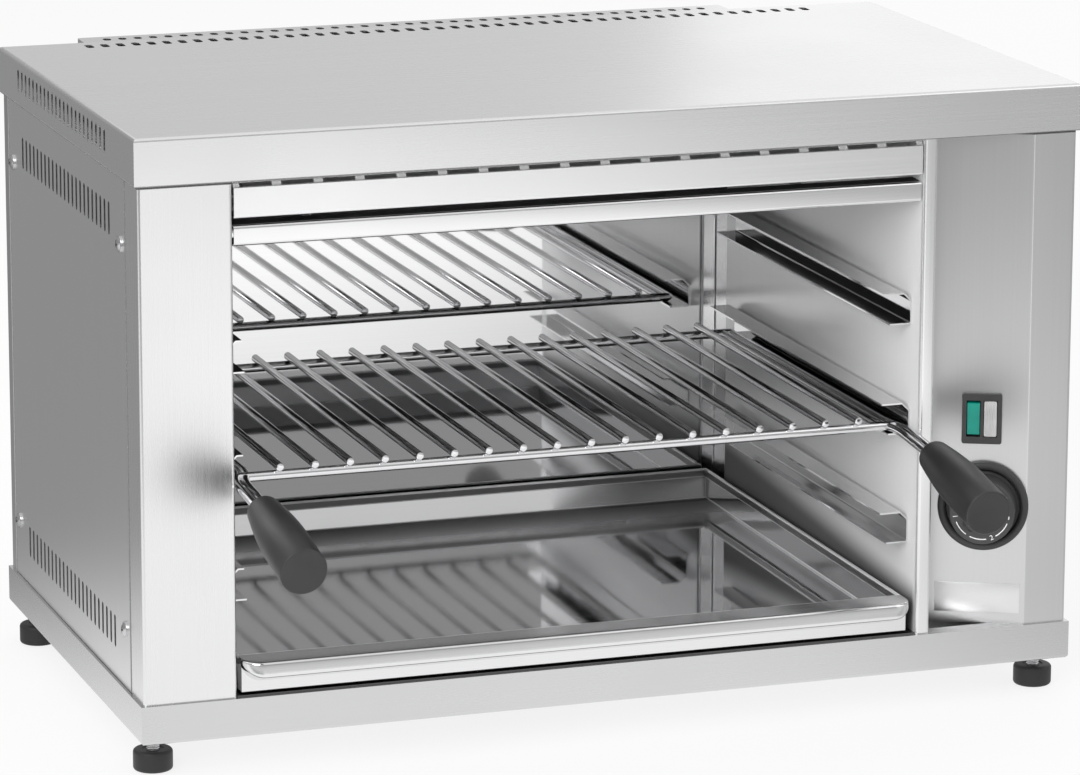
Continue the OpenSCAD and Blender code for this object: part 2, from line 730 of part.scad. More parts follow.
module rack_frame() color("silver") in_case() translate([cavity_mid, 0, 0]) {
    for (end = [[rack_y, front_bar], [rack_y + rack_d, outer_wire]])
        translate([-end[1], end[0], rack_z]) rotate([0, 90, 0])
            cylinder(r = bar_r, h = 2 * end[1]);
    for (s = [-1, 1]) {
        side_wire(s * outer_wire, s * (grip_half + wire_pitch / 2));
        side_wire(s * inner_wire, s * (grip_half - wire_pitch / 2));
    }
}

// Rods laid across the front and back bars
module rack_rods() color("gainsboro") in_case() translate([cavity_mid, 0, 0])
    for (i = [0 : rod_count - 1])
        translate([(i - (rod_count - 1) / 2) * rod_pitch, rack_y - rod_over, rod_z])
            rotate([-90, 0, 0]) cylinder(d = rod_d, h = rack_d + 2 * rod_over);

// Half section of a grip: rounded shoulder, swelling flank, crisp outer end
function grip_flank(t) = grip_neck_d / 2 + (grip_d - grip_neck_d) / 2 * sin(90 * t);

grip_shoulder = 4;
grip_swell = 0.6;         // share of the length over which the grip swells
grip_profile = concat(
    [[0, 0]],
    [for (a = [0 : 15 : 90]) [grip_neck_d / 2 - grip_shoulder + grip_shoulder * sin(a),
        grip_shoulder - grip_shoulder * cos(a)]],
    [for (t = [0.125 : 0.125 : 1])
        [grip_flank(t), grip_shoulder + t * (grip_len * grip_swell - grip_shoulder)]],
    [[grip_d / 2, grip_len - 1.2], [grip_d / 2 - 0.35, grip_len - 0.35],
     [grip_d / 2 - 1.2, grip_len], [0, grip_len]]);

// Grip with a slot for the two wires, s = -1 left and 1 right
module grip(s) translate([cavity_mid + s * grip_half, -grip_y, neck_z])
    rotate([90 + grip_slope, 0, 0]) difference() {
        rotate_extrude() polygon(grip_profile);
        for (x = [-1, 1]) translate([x * wire_pitch / 2, 0, -cut])
            cylinder(r = wire_r + shaft_clear, h = wire_depth + cut);
    }

module left_grip() color([0.16, 0.16, 0.17]) in_case() grip(-1);
module right_grip() color([0.16, 0.16, 0.17]) in_case() grip(1);

// ---- Drip tray ------------------------------------------------------------------------

// Front of the tray: floor, front wall, top of the lip, nose, underside, apron
module tray_front() along_x(tray_x0, tray_x1 - tray_x0) {
    sheet([[tray_y + 20, tray_z], [tray_y, tray_z], [tray_y, lip_z], [nose_y, lip_z],
        [nose_y - 1.5, lip_z - 5], [apron_y, lip_z - lip_h], [apron_y, tray_z + 0.3]],
        [0, bend_r, 0.9, 1.6, 2.4, 1.2, 0], -tray_t);
    translate([apron_y - tray_t, lip_z - lip_h - 1]) square([tray_t, lip_h + 1 + tray_t / 2]);
}

// What a square corner at the origin loses when it is rounded
module corner_waste(r) difference() {
    translate([-cut, -cut]) square(r + cut);
    translate([r, r]) circle(r = r);
}

// What is cut from the ends of the lip, in front of the apron: the lower corners seen from
// the front and the front corners seen from above
module lip_corner_cut() for (s = [0, 1]) translate([s ? tray_x1 : tray_x0, 0, 0])
    mirror([s, 0, 0]) {
        translate([0, 0, lip_z - lip_corner_r - 0.6])
            along_y(nose_y - 4, apron_y - tray_t - nose_y + 4) corner_waste(lip_corner_r);
        translate([0, nose_y]) along_z(lip_z - lip_h - cut, lip_h + 2 * cut)
            corner_waste(min(lip_corner_r, apron_y - tray_t - nose_y));
    }

module drip_tray() color("gray") in_case() {
    w = tray_x1 - tray_x0;
    d = tray_y1 - tray_y;
    hem = 3 * tray_t;
    difference() {
        tray_front();
        lip_corner_cut();
    }
    translate([tray_x0, tray_y + 10, tray_z]) cube([w, d - 10, tray_t]);
    difference() {
        translate([tray_x0, tray_y, tray_z]) cube([w, d, tray_h]);
        translate([tray_x0 + tray_t, tray_y + tray_t / 2, tray_z - cut])
            cube([w - 2 * tray_t, d - 1.5 * tray_t, tray_h + 2 * cut]);
        translate([tray_x0 - cut, tray_y - cut, tray_z - cut])
            cube([w + 2 * cut, cut + tray_t / 2, tray_h + 2 * cut]);
    }
    for (x = [tray_x0, tray_x1 - hem]) translate([x, tray_y + tray_t / 2, tray_top - hem_h])
        cube([hem, d - tray_t / 2, hem_h]);
    translate([tray_x0, tray_y1 - hem, tray_top - hem_h]) cube([w, hem, hem_h]);
}

// ---- Controls ---------------------------------------------------------------------------

rocker_w = (switch_w - 2 * switch_rim - window_gap) / 2;
rocker_h = switch_h - 2 * switch_end;
rocker_x = (rocker_w + window_gap) / 2;
switch_depth = 24;
switch_proud = 2.2;
rocker_tilt = 6;
rocker_clear = 0.3;

// Frame that clips into the panel, with two windows and a closed body behind
module switch_frame() color([0.2, 0.2, 0.2]) in_case() on_panel(switch_x, switch_z)
    difference() {
        union() {
            along_z(0, switch_proud) round_rect(switch_w, switch_h, 1.5);
            translate([0, 0, -switch_depth]) along_z(0, switch_depth)
                square([switch_w - 4.4, switch_h - 4.4], center = true);
        }
        for (s = [-1, 1]) translate([s * rocker_x, 0, -9])
            along_z(0, 9 + switch_proud + cut) square([rocker_w + 2 * rocker_clear,
                rocker_h + 2 * rocker_clear], center = true);
    }

module round_rect(w, h, r) {
    square([w - 2 * r, h], center = true);
    square([w, h - 2 * r], center = true);
    for (x = [-1, 1], y = [-1, 1]) translate([x * (w / 2 - r), y * (h / 2 - r)]) circle(r = r);
}

// Rocker seen from the side: a shallow V on a round back
module rocker_section() {
    half = rocker_h / 2 - 0.9;
    polygon([[-half, switch_proud - 0.4], [-half, -2.4], [-half * 0.4, -6.5],
        [half * 0.4, -6.5], [half, -2.4], [half, switch_proud - 0.4], [0, switch_proud - 1.3]]);
}

module power_rocker() color([0.05, 0.6, 0.45]) in_case() on_panel(switch_x, switch_z)
    translate([-rocker_x, 0, 0]) rotate([rocker_tilt, 0, 0]) rotate([90, 0, 90])
        translate([0, 0, -rocker_w / 2]) linear_extrude(rocker_w) rocker_section();

module pilot_lens() color([0.8, 0.82, 0.82]) in_case() on_panel(switch_x, switch_z)
    translate([rocker_x, 0, -8.9]) along_z(0, 8.9 + switch_proud - 0.3)
        round_rect(rocker_w, rocker_h, 1);

dial_proud = 5;
knob_r = dial_d / 2 - dial_ring_w - 0.8;
knob_lift = 0.8;

// Fixed ring with a rounded crown and a thin floor that lies on the panel
module dial_ring() color([0.22, 0.22, 0.22]) in_case() on_panel(dial_x, dial_z)
    rotate_extrude($fn = 96) {
        translate([shaft_d / 2 + 2, 0]) square([dial_d / 2 - shaft_d / 2 - 2, 0.5]);
        translate([dial_d / 2 - dial_ring_w, 0]) square([dial_ring_w, dial_proud - 2]);
        translate([dial_d / 2 - dial_ring_w + 2, dial_proud - 2]) square([dial_ring_w - 4, 2]);
        for (x = [dial_d / 2 - dial_ring_w + 2, dial_d / 2 - 2])
            translate([x, dial_proud - 2]) circle(r = 2, $fn = 24);
    }

// Knob: a tall turned body with a flat face and a bar across it
module knob() color([0.25, 0.25, 0.26]) in_case() on_panel(dial_x, dial_z) difference() {
    face_r = knob_face_d / 2;
    union() {
        rotate_extrude($fn = 96) polygon([[0, knob_lift], [knob_r, knob_lift], [knob_r, 2.4],
            [knob_r - 0.8, 3.2], [face_r + 0.7, 3.8], [face_r, knob_h - 1],
            [face_r - 0.3, knob_h - 0.3], [face_r - 1, knob_h], [0, knob_h]]);
        translate([0, 0, knob_h - 0.01]) rotate(45)
            linear_extrude(knob_bar_h, scale = 0.86) slot(knob_bar_w, knob_bar_len);
    }
    cylinder(d = shaft_d, h = knob_lift + 10);
}

regulator_gap = 1;

module regulator_shaft() color("silver") in_case() on_panel(dial_x, dial_z)
    translate([0, 0, -sheet_t - 12]) cylinder(d = shaft_d, h = sheet_t + 12 + knob_lift + 10);

// Energy regulator: square body and a threaded neck that bears the shaft
module regulator_body() color("beige") in_case() on_panel(dial_x, dial_z) difference() {
    union() {
        translate([0, 0, -sheet_t - regulator_gap - regulator_h])
            along_z(0, regulator_h) round_rect(regulator_w, regulator_w, 3);
        translate([0, 0, -sheet_t - regulator_gap - 0.01])
            cylinder(d = regulator_w * 2 / 3, h = regulator_gap);
        translate([0, 0, -sheet_t - regulator_gap - 0.01])
            cylinder(d = shaft_d + 4, h = sheet_t + regulator_gap);
    }
    translate([0, 0, -sheet_t - 13]) cylinder(r = shaft_d / 2 + shaft_clear, h = 14 + 2 * cut);
}

// Five-pole terminal block on the floor of the base
module terminal_block() color("ivory") in_case()
    translate([gland_x - 30, back_y - 70, sheet_t]) difference() {
        union() {
            cube([60, 24, 12]);
            for (i = [0 : 4]) translate([3 + i * 11.2, 4, 0]) cube([9.2, 16, 17]);
        }
        for (i = [0 : 4], y = [8, 16]) translate([7.6 + i * 11.2, y, 9])
            cylinder(d = 4, h = 10, $fn = 24);
    }

gland_len = box_d + skin_inset - 0.5;

// Gland body outside the back panel: collar and domed cap with the cable's bore
module cable_gland() color([0.15, 0.15, 0.15]) in_case()
    translate([gland_x, back_y, gland_z]) rotate([-90, 0, 0]) difference() {
        union() {
            translate([0, 0, -12]) cylinder(r = gland_thread_r, h = 13);
            cylinder(r = 14, h = 6, $fn = 6);
            rotate_extrude() polygon([[0, 5], [12.5, 5], [12.5, gland_len - 5],
                [11, gland_len - 2], [8.5, gland_len], [0, gland_len]]);
        }
        translate([0, 0, -12 - cut]) cylinder(r = 5, h = 12 + gland_len + 2 * cut);
    }

module gland_nut() color([0.15, 0.15, 0.15]) in_case()
    translate([gland_x, back_y - sheet_t, gland_z]) rotate([90, 0, 0]) difference() {
        cylinder(r = 15, h = 5, $fn = 6);
        translate([0, 0, -cut]) cylinder(r = gland_thread_r, h = 5 + 2 * cut);
    }

// ---- Feet ---------------------------------------------------------------------------------

stud_top = 14;
nut_h = 6;

// Threaded nuts fixed on the floor of the base
module foot_nuts() color("darkgray") in_case() at_feet() translate([0, 0, sheet_t])
    difference() {
        cylinder(d = stud_d + 6, h = nut_h, $fn = 6);
        translate([0, 0, -cut]) cylinder(d = stud_d + 2 * shaft_clear, h = nut_h + 2 * cut);
    }

module at_foot(sx, sy) translate([sx * (case_w / 2 - foot_inset_x),
    sy > 0 ? case_d - foot_inset_y : foot_inset_y, -foot_h]) children();

// Rubber foot with rounded edges, moulded round the stud
module foot(sx, sy) color([0.12, 0.12, 0.12]) in_case() at_foot(sx, sy) difference() {
    rotate_extrude() {
        square([foot_d / 2 - 2, rubber_h]);
        translate([0, 2]) square([foot_d / 2, rubber_h - 4]);
        for (z = [2, rubber_h - 2]) translate([foot_d / 2 - 2, z]) circle(r = 2, $fn = 24);
    }
    translate([0, 0, 4]) cylinder(d = stud_d, h = rubber_h);
}

module stud(sx, sy) color("silver") in_case() at_foot(sx, sy)
    translate([0, 0, 4]) cylinder(d = stud_d, h = foot_h - 4 + stud_top);

module foot_front_left() foot(-1, -1);
module foot_front_right() foot(1, -1);
module foot_back_left() foot(-1, 1);
module foot_back_right() foot(1, 1);
module stud_front_left() stud(-1, -1);
module stud_front_right() stud(1, -1);
module stud_back_left() stud(-1, 1);
module stud_back_right() stud(1, 1);

lid();
base_pan();
left_column();
right_post();
control_panel();
back_panel();
left_side_panel();
right_side_panel();
left_side_screws();
right_side_screws();
rear_vent_box();
rear_box_screws();
cavity_floor();
reflector();
upper_front_rail();
lower_front_rail();
runner_left_low();
runner_left_mid();
runner_left_top();
runner_right_low();
runner_right_mid();
runner_right_top();
heating_elements();
element_hangers();
element_bushings();
rack_frame();
rack_rods();
left_grip();
right_grip();
drip_tray();
switch_frame();
power_rocker();
pilot_lens();
dial_ring();
knob();
regulator_shaft();
regulator_body();
terminal_block();
cable_gland();
gland_nut();
foot_nuts();
foot_front_left();
foot_front_right();
foot_back_left();
foot_back_right();
stud_front_left();
stud_front_right();
stud_back_left();
stud_back_right();
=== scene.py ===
import json
import math

import bpy
from mathutils import Matrix, Vector

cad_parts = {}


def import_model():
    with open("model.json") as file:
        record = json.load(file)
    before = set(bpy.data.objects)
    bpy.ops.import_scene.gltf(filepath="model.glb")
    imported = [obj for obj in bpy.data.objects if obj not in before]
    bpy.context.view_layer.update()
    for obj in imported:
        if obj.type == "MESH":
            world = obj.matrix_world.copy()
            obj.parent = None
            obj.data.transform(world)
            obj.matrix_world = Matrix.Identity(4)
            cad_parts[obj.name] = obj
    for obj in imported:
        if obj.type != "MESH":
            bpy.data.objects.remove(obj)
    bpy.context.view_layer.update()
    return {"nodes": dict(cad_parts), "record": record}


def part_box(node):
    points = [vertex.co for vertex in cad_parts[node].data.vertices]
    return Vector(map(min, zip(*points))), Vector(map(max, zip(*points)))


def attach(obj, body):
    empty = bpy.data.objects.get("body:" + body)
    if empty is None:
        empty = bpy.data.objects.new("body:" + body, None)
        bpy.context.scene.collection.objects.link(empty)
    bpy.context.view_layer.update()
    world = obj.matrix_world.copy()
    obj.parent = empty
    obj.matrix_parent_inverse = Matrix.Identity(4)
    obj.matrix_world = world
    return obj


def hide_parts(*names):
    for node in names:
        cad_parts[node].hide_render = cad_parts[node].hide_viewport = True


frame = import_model()
nodes = frame["nodes"]
record = frame["record"]
BODY = {node: body for body, members in record["behaviour"]["bodies"].items()
        for node in members}

MM = 0.001

# Places that more than one piece is set by, in metres
CASE_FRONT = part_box("lid")[0].y
BASE_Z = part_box("base_pan")[0].z
CAVITY_X0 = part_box("cavity_floor")[0].x
CAVITY_X1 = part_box("cavity_floor")[1].x

# Drip tray in mm: front of its pan, height, sheet and hem
TRAY_Y, TRAY_H, TRAY_T, TRAY_HEM = 12.5, 21.0, 0.8, 5.0

# Control panel: its slant, and where it bends into the right column (X, Y in mm)
PANEL_SLANT = math.radians(25.5)
PANEL_BEND = (270.0, 2.0)


def case_at(x, y, z):
    """A point given from the lid's front and the base's underside, in the part's own mm."""
    return Vector((x, y + CASE_FRONT / MM, z + BASE_Z / MM))


# ---- Materials: node helpers -------------------------------------------------------------


def graph(name):
    """A new material with its node tree and its shader."""
    mat = bpy.data.materials.new(name)
    mat.use_nodes = True
    tree = mat.node_tree
    return mat, tree, tree.nodes["Principled BSDF"]


def feed(tree, socket, value):
    """Links a socket into another, or writes a plain value or a colour on it."""
    if isinstance(value, bpy.types.NodeSocket):
        tree.links.new(value, socket)
    elif socket.type == "RGBA" and len(value) == 3:
        socket.default_value = (*value, 1)
    else:
        socket.default_value = value


def sums(tree, operation, a, b, clamp=False):
    """Two values put together by one of the maths node's operations."""
    node = tree.nodes.new("ShaderNodeMath")
    node.operation = operation
    node.use_clamp = clamp
    feed(tree, node.inputs[0], a)
    feed(tree, node.inputs[1], b)
    return node.outputs[0]


def times(tree, a, b):
    return sums(tree, "MULTIPLY", a, b)


def rest_of(tree, share):
    """What a share leaves of 1."""
    return sums(tree, "SUBTRACT", 1.0, share)


def span(tree, value, low, high, to_low, to_high, smooth=False):
    """The value moved from one range to another and held inside it."""
    node = tree.nodes.new("ShaderNodeMapRange")
    if smooth:
        node.interpolation_type = "SMOOTHSTEP"
    tree.links.new(value, node.inputs["Value"])
    for key, number in zip(("From Min", "From Max", "To Min", "To Max"),
                           (low, high, to_low, to_high)):
        feed(tree, node.inputs[key], number)
    return node.outputs["Result"]


def blend_of(tree, share, a, b):
    """Colour a turning into colour b as the share goes from 0 to 1."""
    node = tree.nodes.new("ShaderNodeMix")
    node.data_type = "RGBA"
    for index, value in ((0, share), (6, a), (7, b)):
        feed(tree, node.inputs[index], value)
    return node.outputs[2]


def between(tree, share, a, b):
    """Number a turning into number b as the share goes from 0 to 1."""
    node = tree.nodes.new("ShaderNodeMix")
    for index, value in ((0, share), (2, a), (3, b)):
        feed(tree, node.inputs[index], value)
    return node.outputs[0]


def object_place(tree, scale=(1, 1, 1)):
    """A point's place on the object, stretched where a pattern is squeezed."""
    place = tree.nodes.new("ShaderNodeTexCoord").outputs["Object"]
    mapping = tree.nodes.new("ShaderNodeMapping")
    mapping.inputs["Scale"].default_value = scale
    tree.links.new(place, mapping.inputs["Vector"])
    return mapping.outputs["Vector"]


def axis_of(tree, axis):
    """How far along an axis a point of the object lies, in metres."""
    split = tree.nodes.new("ShaderNodeSeparateXYZ")
    tree.links.new(object_place(tree), split.inputs[0])
    return split.outputs["XYZ".index(axis)]


def noise(tree, place, scale, detail, rough):
    node = tree.nodes.new("ShaderNodeTexNoise")
    node.inputs["Scale"].default_value = scale
    node.inputs["Detail"].default_value = detail
    node.inputs["Roughness"].default_value = rough
    tree.links.new(place, node.inputs["Vector"])
    return node.outputs["Fac"]


def bump(tree, height, strength, distance, below=None):
    """Relief from a height, on top of the relief below where that is given."""
    node = tree.nodes.new("ShaderNodeBump")
    node.inputs["Strength"].default_value = strength
    node.inputs["Distance"].default_value = distance
    tree.links.new(height, node.inputs["Height"])
    if below is not None:
        tree.links.new(below, node.inputs["Normal"])
    return node.outputs["Normal"]


# ---- Materials: where on a piece a finish or a painted shade is seen ---------------------
# A share is a number from 0 to 1 that nodes make from a point's place. A share maker is a
# function that builds one in a material's node tree.

WALL_EDGE = 1.6 * MM    # sheet and bend beside the cavity
VENT_WALL = 13 * MM     # from the vent box's flange edges to the inside of its walls
# Width of the painted shade along a side panel's upright seams
SEAM = 2.2 * MM         # dark line along a side panel's upright edges
# How far down the back wall the painted shade reaches
SHADE_DROP = 66 * MM     # how far below the lower rail the back wall is still black


def past(tree, axis, line, soft=1.5 * MM):
    """0 before a line across the axis and 1 past it."""
    return span(tree, axis_of(tree, axis), line - soft, line + soft, 0.0, 1.0)


def before(tree, axis, line, soft=1.5 * MM):
    """1 before a line across the axis and 0 past it."""
    return rest_of(tree, past(tree, axis, line, soft))


def band(tree, axis, low, high, soft=0.2 * MM):
    """1 between two places along an axis and 0 outside them."""
    return times(tree, past(tree, axis, low, soft), before(tree, axis, high, soft))


def turning(tree, axis, low, high, to_low, to_high, smooth=True):
    """A number that changes between two places along an axis and is level outside them."""
    return span(tree, axis_of(tree, axis), low, high, to_low, to_high, smooth)


def behind(depth):
    """Makes the share maker for all that lies deeper than this behind the case's front."""
    return lambda tree: past(tree, "Y", CASE_FRONT + depth, 1 * MM)


def lid_seam_shade(tree):
    """A painted shadow: the dark line just under the lid's skirt."""
    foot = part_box("lid")[0].z
    return times(tree, band(tree, "Z", foot - 1.5 * MM, foot + 3 * MM), 0.92)


def skirt_edge_shade(tree):
    """A painted shadow along the cut edge at the foot of the lid's skirt."""
    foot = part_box("lid")[0].z
    return times(tree, band(tree, "Z", foot - 2 * MM, foot + 0.7 * MM), 0.8)


def side_seam_shade(tree):
    """Painted shade: dark lines round a side panel, under the lid and along both upright
    edges.
    """
    low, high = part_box("left_side_panel")
    edges = rest_of(tree, band(tree, "Y", low.y + SEAM, high.y - SEAM))
    return sums(tree, "MAXIMUM", times(tree, edges, 0.75), lid_seam_shade(tree))


def slant_top_shade(tree):
    """Painted shade on the slanted part of the control panel, greyer towards its top."""
    return times(tree, before(tree, "X", PANEL_BEND[0] * MM, 1 * MM),
                 turning(tree, "Z", BASE_Z + 0.14, BASE_Z + 0.30, 0.03, 0.22, False))


def left_wall(tree):
    """The left column's cavity wall, from behind its front bend."""
    return times(tree, past(tree, "X", CAVITY_X0 - WALL_EDGE),
                 past(tree, "Y", CASE_FRONT + 4 * MM))


def right_wall(tree):
    """The right post's cavity wall, from behind its front bend."""
    return times(tree, before(tree, "X", CAVITY_X1 + WALL_EDGE),
                 past(tree, "Y", CASE_FRONT + 4 * MM))


def right_wall_gloss(tree):
    """Roughness of the right wall, less further in."""
    return turning(tree, "Y", CASE_FRONT, CASE_FRONT + 0.20, 0.50, 0.28)


def right_wall_satin(tree):
    """The right wall's satin film, thinner further in."""
    return times(tree, right_wall(tree),
                 turning(tree, "Y", CASE_FRONT + 0.01, CASE_FRONT + 0.25, 0.90, 0.40))


def right_wall_foot_shade(tree):
    """Painted shade at the foot of the right wall beside the tray, dark to a higher line
    further in.
    """
    rise = turning(tree, "Y", CASE_FRONT, CASE_FRONT + 0.33, 0.0, 0.022, False)
    height = sums(tree, "SUBTRACT", axis_of(tree, "Z"), rise)
    foot = span(tree, height, BASE_Z + 0.040, BASE_Z + 0.060, 0.85, 0.0, True)
    return times(tree, foot, times(tree, before(tree, "X", CAVITY_X1 + WALL_EDGE),
                                   past(tree, "Y", CASE_FRONT + 6 * MM, 3 * MM)))


def vent_rail_shade(tree):
    """Painted shade: the vented rail's shoulder from deep inside, its underside from behind
    its face.
    """
    shoulder = past(tree, "Z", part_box("upper_front_rail")[1].z - 8 * MM)
    return between(tree, shoulder, past(tree, "Y", CASE_FRONT + 3.2 * MM, 0.5 * MM),
                   past(tree, "Y", CASE_FRONT + 9 * MM, 1 * MM))


def back_wall(tree):
    """The back wall inside the cavity, without its narrow sides."""
    low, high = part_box("rear_vent_box")
    inside = VENT_WALL + 0.5 * MM
    return times(tree, before(tree, "Z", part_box("reflector")[1].z),
                 band(tree, "X", low.x + inside, high.x - inside, 0.3 * MM))


def back_wall_shade(tree):
    """Painted shade: the back wall from below the elements up to the reflector, near black.
    """
    low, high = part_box("rear_vent_box")
    inside = VENT_WALL - 0.5 * MM
    level = band(tree, "Z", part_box("lower_front_rail")[0].z - SHADE_DROP,
                 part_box("reflector")[1].z, 2 * MM)
    face = before(tree, "Y", high.y - 0.5 * MM, 0.3 * MM)
    return times(tree, times(tree, level, face),
                 band(tree, "X", low.x + inside, high.x - inside, 0.3 * MM))


def tray_floor_back_shade(tree):
    """Painted shade: the tray's floor, darkened along its back."""
    low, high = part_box("drip_tray")
    return times(tree, before(tree, "Z", low.z + 1.6 * MM, 0.4 * MM),
                 turning(tree, "Y", high.y - 75 * MM, high.y - 4 * MM, 0.0, 0.8))


def tray_front_wall(tree):
    """The inner side of the tray's front wall, dulled by use."""
    wall = times(tree, before(tree, "Y", CASE_FRONT + (TRAY_Y + 3.6) * MM, 0.4 * MM),
                 past(tree, "Z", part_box("drip_tray")[0].z + 1.4 * MM, 0.4 * MM))
    return times(tree, wall, 0.6)


def tray_edges(tree):
    """The ground edges of the tray's rim and hem, and the bend along its foot."""
    low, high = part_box("drip_tray")
    hem_foot = high.z - TRAY_HEM * MM
    rim = band(tree, "Z", high.z - 0.7 * MM, high.z + 1 * MM)
    hem = band(tree, "Z", hem_foot - 0.4 * MM, hem_foot + 0.5 * MM)
    foot = band(tree, "Z", low.z + 1 * MM, low.z + 2.1 * MM)
    return sums(tree, "MAXIMUM", sums(tree, "MAXIMUM", rim, hem), foot)


def tray_hem_shade(tree):
    """Painted shade on the hem's inner face, and on the far right corner."""
    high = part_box("drip_tray")[1]
    face = band(tree, "Z", high.z - (TRAY_HEM - 0.5) * MM, high.z - 0.7 * MM)
    corner = times(tree, past(tree, "Y", high.y - 8 * MM, 1 * MM),
                   turning(tree, "X", high.x - 110 * MM, high.x - 50 * MM, 0.0, 0.75))
    return sums(tree, "MAXIMUM", face, corner)


def underside(node, drop, depth):
    """Makes the share maker for painted shade on the lower half of round wires inside the
    cavity.
    """
    def share(tree):
        return times(tree, before(tree, "Z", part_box(node)[1].z - drop, 0.6 * MM),
                     past(tree, "Y", CASE_FRONT + depth))
    return share


# ---- Materials ---------------------------------------------------------------------------

# How the noise of rolled sheet is squeezed across the direction it was rolled in
GRAIN = {"X": (3, 900, 900), "Y": (900, 3, 900), "Z": (900, 900, 3)}

# What a finish, or a painted shade, turns sheet into where its share is 1, in the order they
# are laid on: colour, roughness and metallic, with None for what stays
FINISHES = {
    # Painted shade: a mid grey laid over sheet that lies in shade
    "browned": ((0.20, 0.20, 0.20), 0.30, None),
    "satin": (None, None, 0.0),
    "polished": (None, 0.025, None),
    "matt": (None, 0.6, 0.2),
    # Painted shade: near black laid into gaps, recesses and the depths of the cavity
    "sooty": ((0.012, 0.012, 0.012), 0.6, 0.0),
}


def grey(tone, blue=0.0):
    """A grey, with a trace more of blue where that is given."""
    return (tone, tone, tone + blue)


def sheet_steel(name, tone, rough, grain, wave=0.05, metal=1.0, brushed=0.0, gloss=None,
                **finishes):
    """Rolled stainless sheet: hair-fine grain along one axis, faint clouds, a slow wave.

    finishes holds a share maker for each of the FINISHES that the sheet has. gloss makes the
    roughness of the polished part where that is no mirror. brushed turns the sheen level."""
    mat, tree, shader = graph(name)
    hair = noise(tree, object_place(tree, GRAIN[grain]), 1.0, 3.0, 0.65)
    clouds = noise(tree, object_place(tree), 6.0, 3.0, 0.5)
    slow = noise(tree, object_place(tree, (1, 1, 0.6)), 7.0, 1.0, 0.3)
    colour = blend_of(tree, span(tree, hair, 0.3, 0.7, 0.0, 1.0),
                      [c * 0.98 for c in tone], [min(c * 1.012, 1) for c in tone])
    colour = blend_of(tree, span(tree, clouds, 0.3, 0.7, 0.0, 0.35), colour,
                      [c * 0.93 for c in tone])
    roughness = sums(tree, "ADD", span(tree, hair, 0.3, 0.7, rough - 0.015, rough + 0.015),
                     span(tree, clouds, 0.3, 0.7, -0.02, 0.02))
    for kind, (painted_shade, dull, metallic) in FINISHES.items():
        if kind not in finishes:
            continue
        share = finishes[kind](tree)
        if kind == "polished" and gloss is not None:
            dull = gloss(tree)
        # Only the painted shades bring a colour, laid over the sheet's own
        if painted_shade is not None:
            colour = blend_of(tree, share, colour, painted_shade)
        if dull is not None:
            roughness = between(tree, share, roughness, dull)
        if metallic is not None:
            metal = between(tree, share, metal, metallic)
    feed(tree, shader.inputs["Base Color"], colour)
    feed(tree, shader.inputs["Roughness"], roughness)
    feed(tree, shader.inputs["Metallic"], metal)
    normal = bump(tree, slow, wave, 0.004)
    feed(tree, shader.inputs["Normal"], bump(tree, hair, 0.015, 0.00002, normal))
    if brushed:
        shader.inputs["Anisotropic"].default_value = brushed
        level = tree.nodes.new("ShaderNodeCombineXYZ")
        level.inputs[0].default_value = level.inputs[1].default_value = 0.7071
        tree.links.new(level.outputs[0], shader.inputs["Tangent"])
    return mat


def plastic(name, tone, rough, pits=0.1, coat=0.0):
    """Moulded plastic or rubber: fine-grained, slightly uneven in gloss and shade."""
    mat, tree, shader = graph(name)
    fine = noise(tree, object_place(tree), 1400.0, 2.0, 0.5)
    clouds = noise(tree, object_place(tree), 60.0, 3.0, 0.5)
    colour = blend_of(tree, span(tree, clouds, 0.35, 0.65, 0.0, 1.0),
                      [c * 0.88 for c in tone], [min(c * 1.12, 1) for c in tone])
    feed(tree, shader.inputs["Base Color"], colour)
    feed(tree, shader.inputs["Roughness"],
         span(tree, clouds, 0.3, 0.7, rough - 0.04, rough + 0.04))
    shader.inputs["Coat Weight"].default_value = coat
    feed(tree, shader.inputs["Normal"], bump(tree, fine, pits, 0.0001))
    return mat


STEEL = grey(0.87, 0.005)
CHROME = grey(0.80, 0.01)

# The lid gets a painted shadow along its skirt's foot
lid_steel = sheet_steel("lid_steel", STEEL, 0.27, "X", sooty=skirt_edge_shade)
base_steel = sheet_steel("base_steel", grey(0.69, 0.005), 0.27, "X")
# The column gets the painted shadow line under the lid
column_steel = sheet_steel("column_steel", STEEL, 0.27, "Z", polished=left_wall,
                           sooty=lid_seam_shade)
# The right wall's foot beside the tray gets painted shade
post_steel = sheet_steel("post_steel", grey(0.90, 0.005), 0.24, "Z", 0.08, brushed=0.9,
                         polished=right_wall, gloss=right_wall_gloss,
                         satin=right_wall_satin, sooty=right_wall_foot_shade)
# The panel gets painted shade: greyer up its slant, and the shadow line under the lid
panel_steel = sheet_steel("panel_steel", grey(0.73, 0.005), 0.30, "Z", browned=slant_top_shade,
                          sooty=lid_seam_shade)
# The side panels get painted shade in their seams
side_steel = sheet_steel("side_steel", grey(0.86, 0.005), 0.30, "Z", sooty=side_seam_shade)
# Painted shade: the lower rail is near black from 5.5 mm behind the front
rail_steel = sheet_steel("rail_steel", STEEL, 0.20, "X", 0.04, sooty=behind(5.5 * MM))
# The vented rail gets painted shade deeper inside
vent_rail_steel = sheet_steel("vent_rail_steel", STEEL, 0.20, "X", 0.04,
                              matt=behind(2.8 * MM), sooty=vent_rail_shade)
# The back wall gets painted shade round the elements
vent_steel = sheet_steel("vent_steel", grey(0.82, 0.005), 0.24, "X", 0.03,
                         polished=back_wall, sooty=back_wall_shade)
reflector_steel = sheet_steel("reflector_steel", grey(0.80), 0.4, "X", metal=0.5)
dark_steel = sheet_steel("dark_steel", grey(0.30), 0.45, "X")
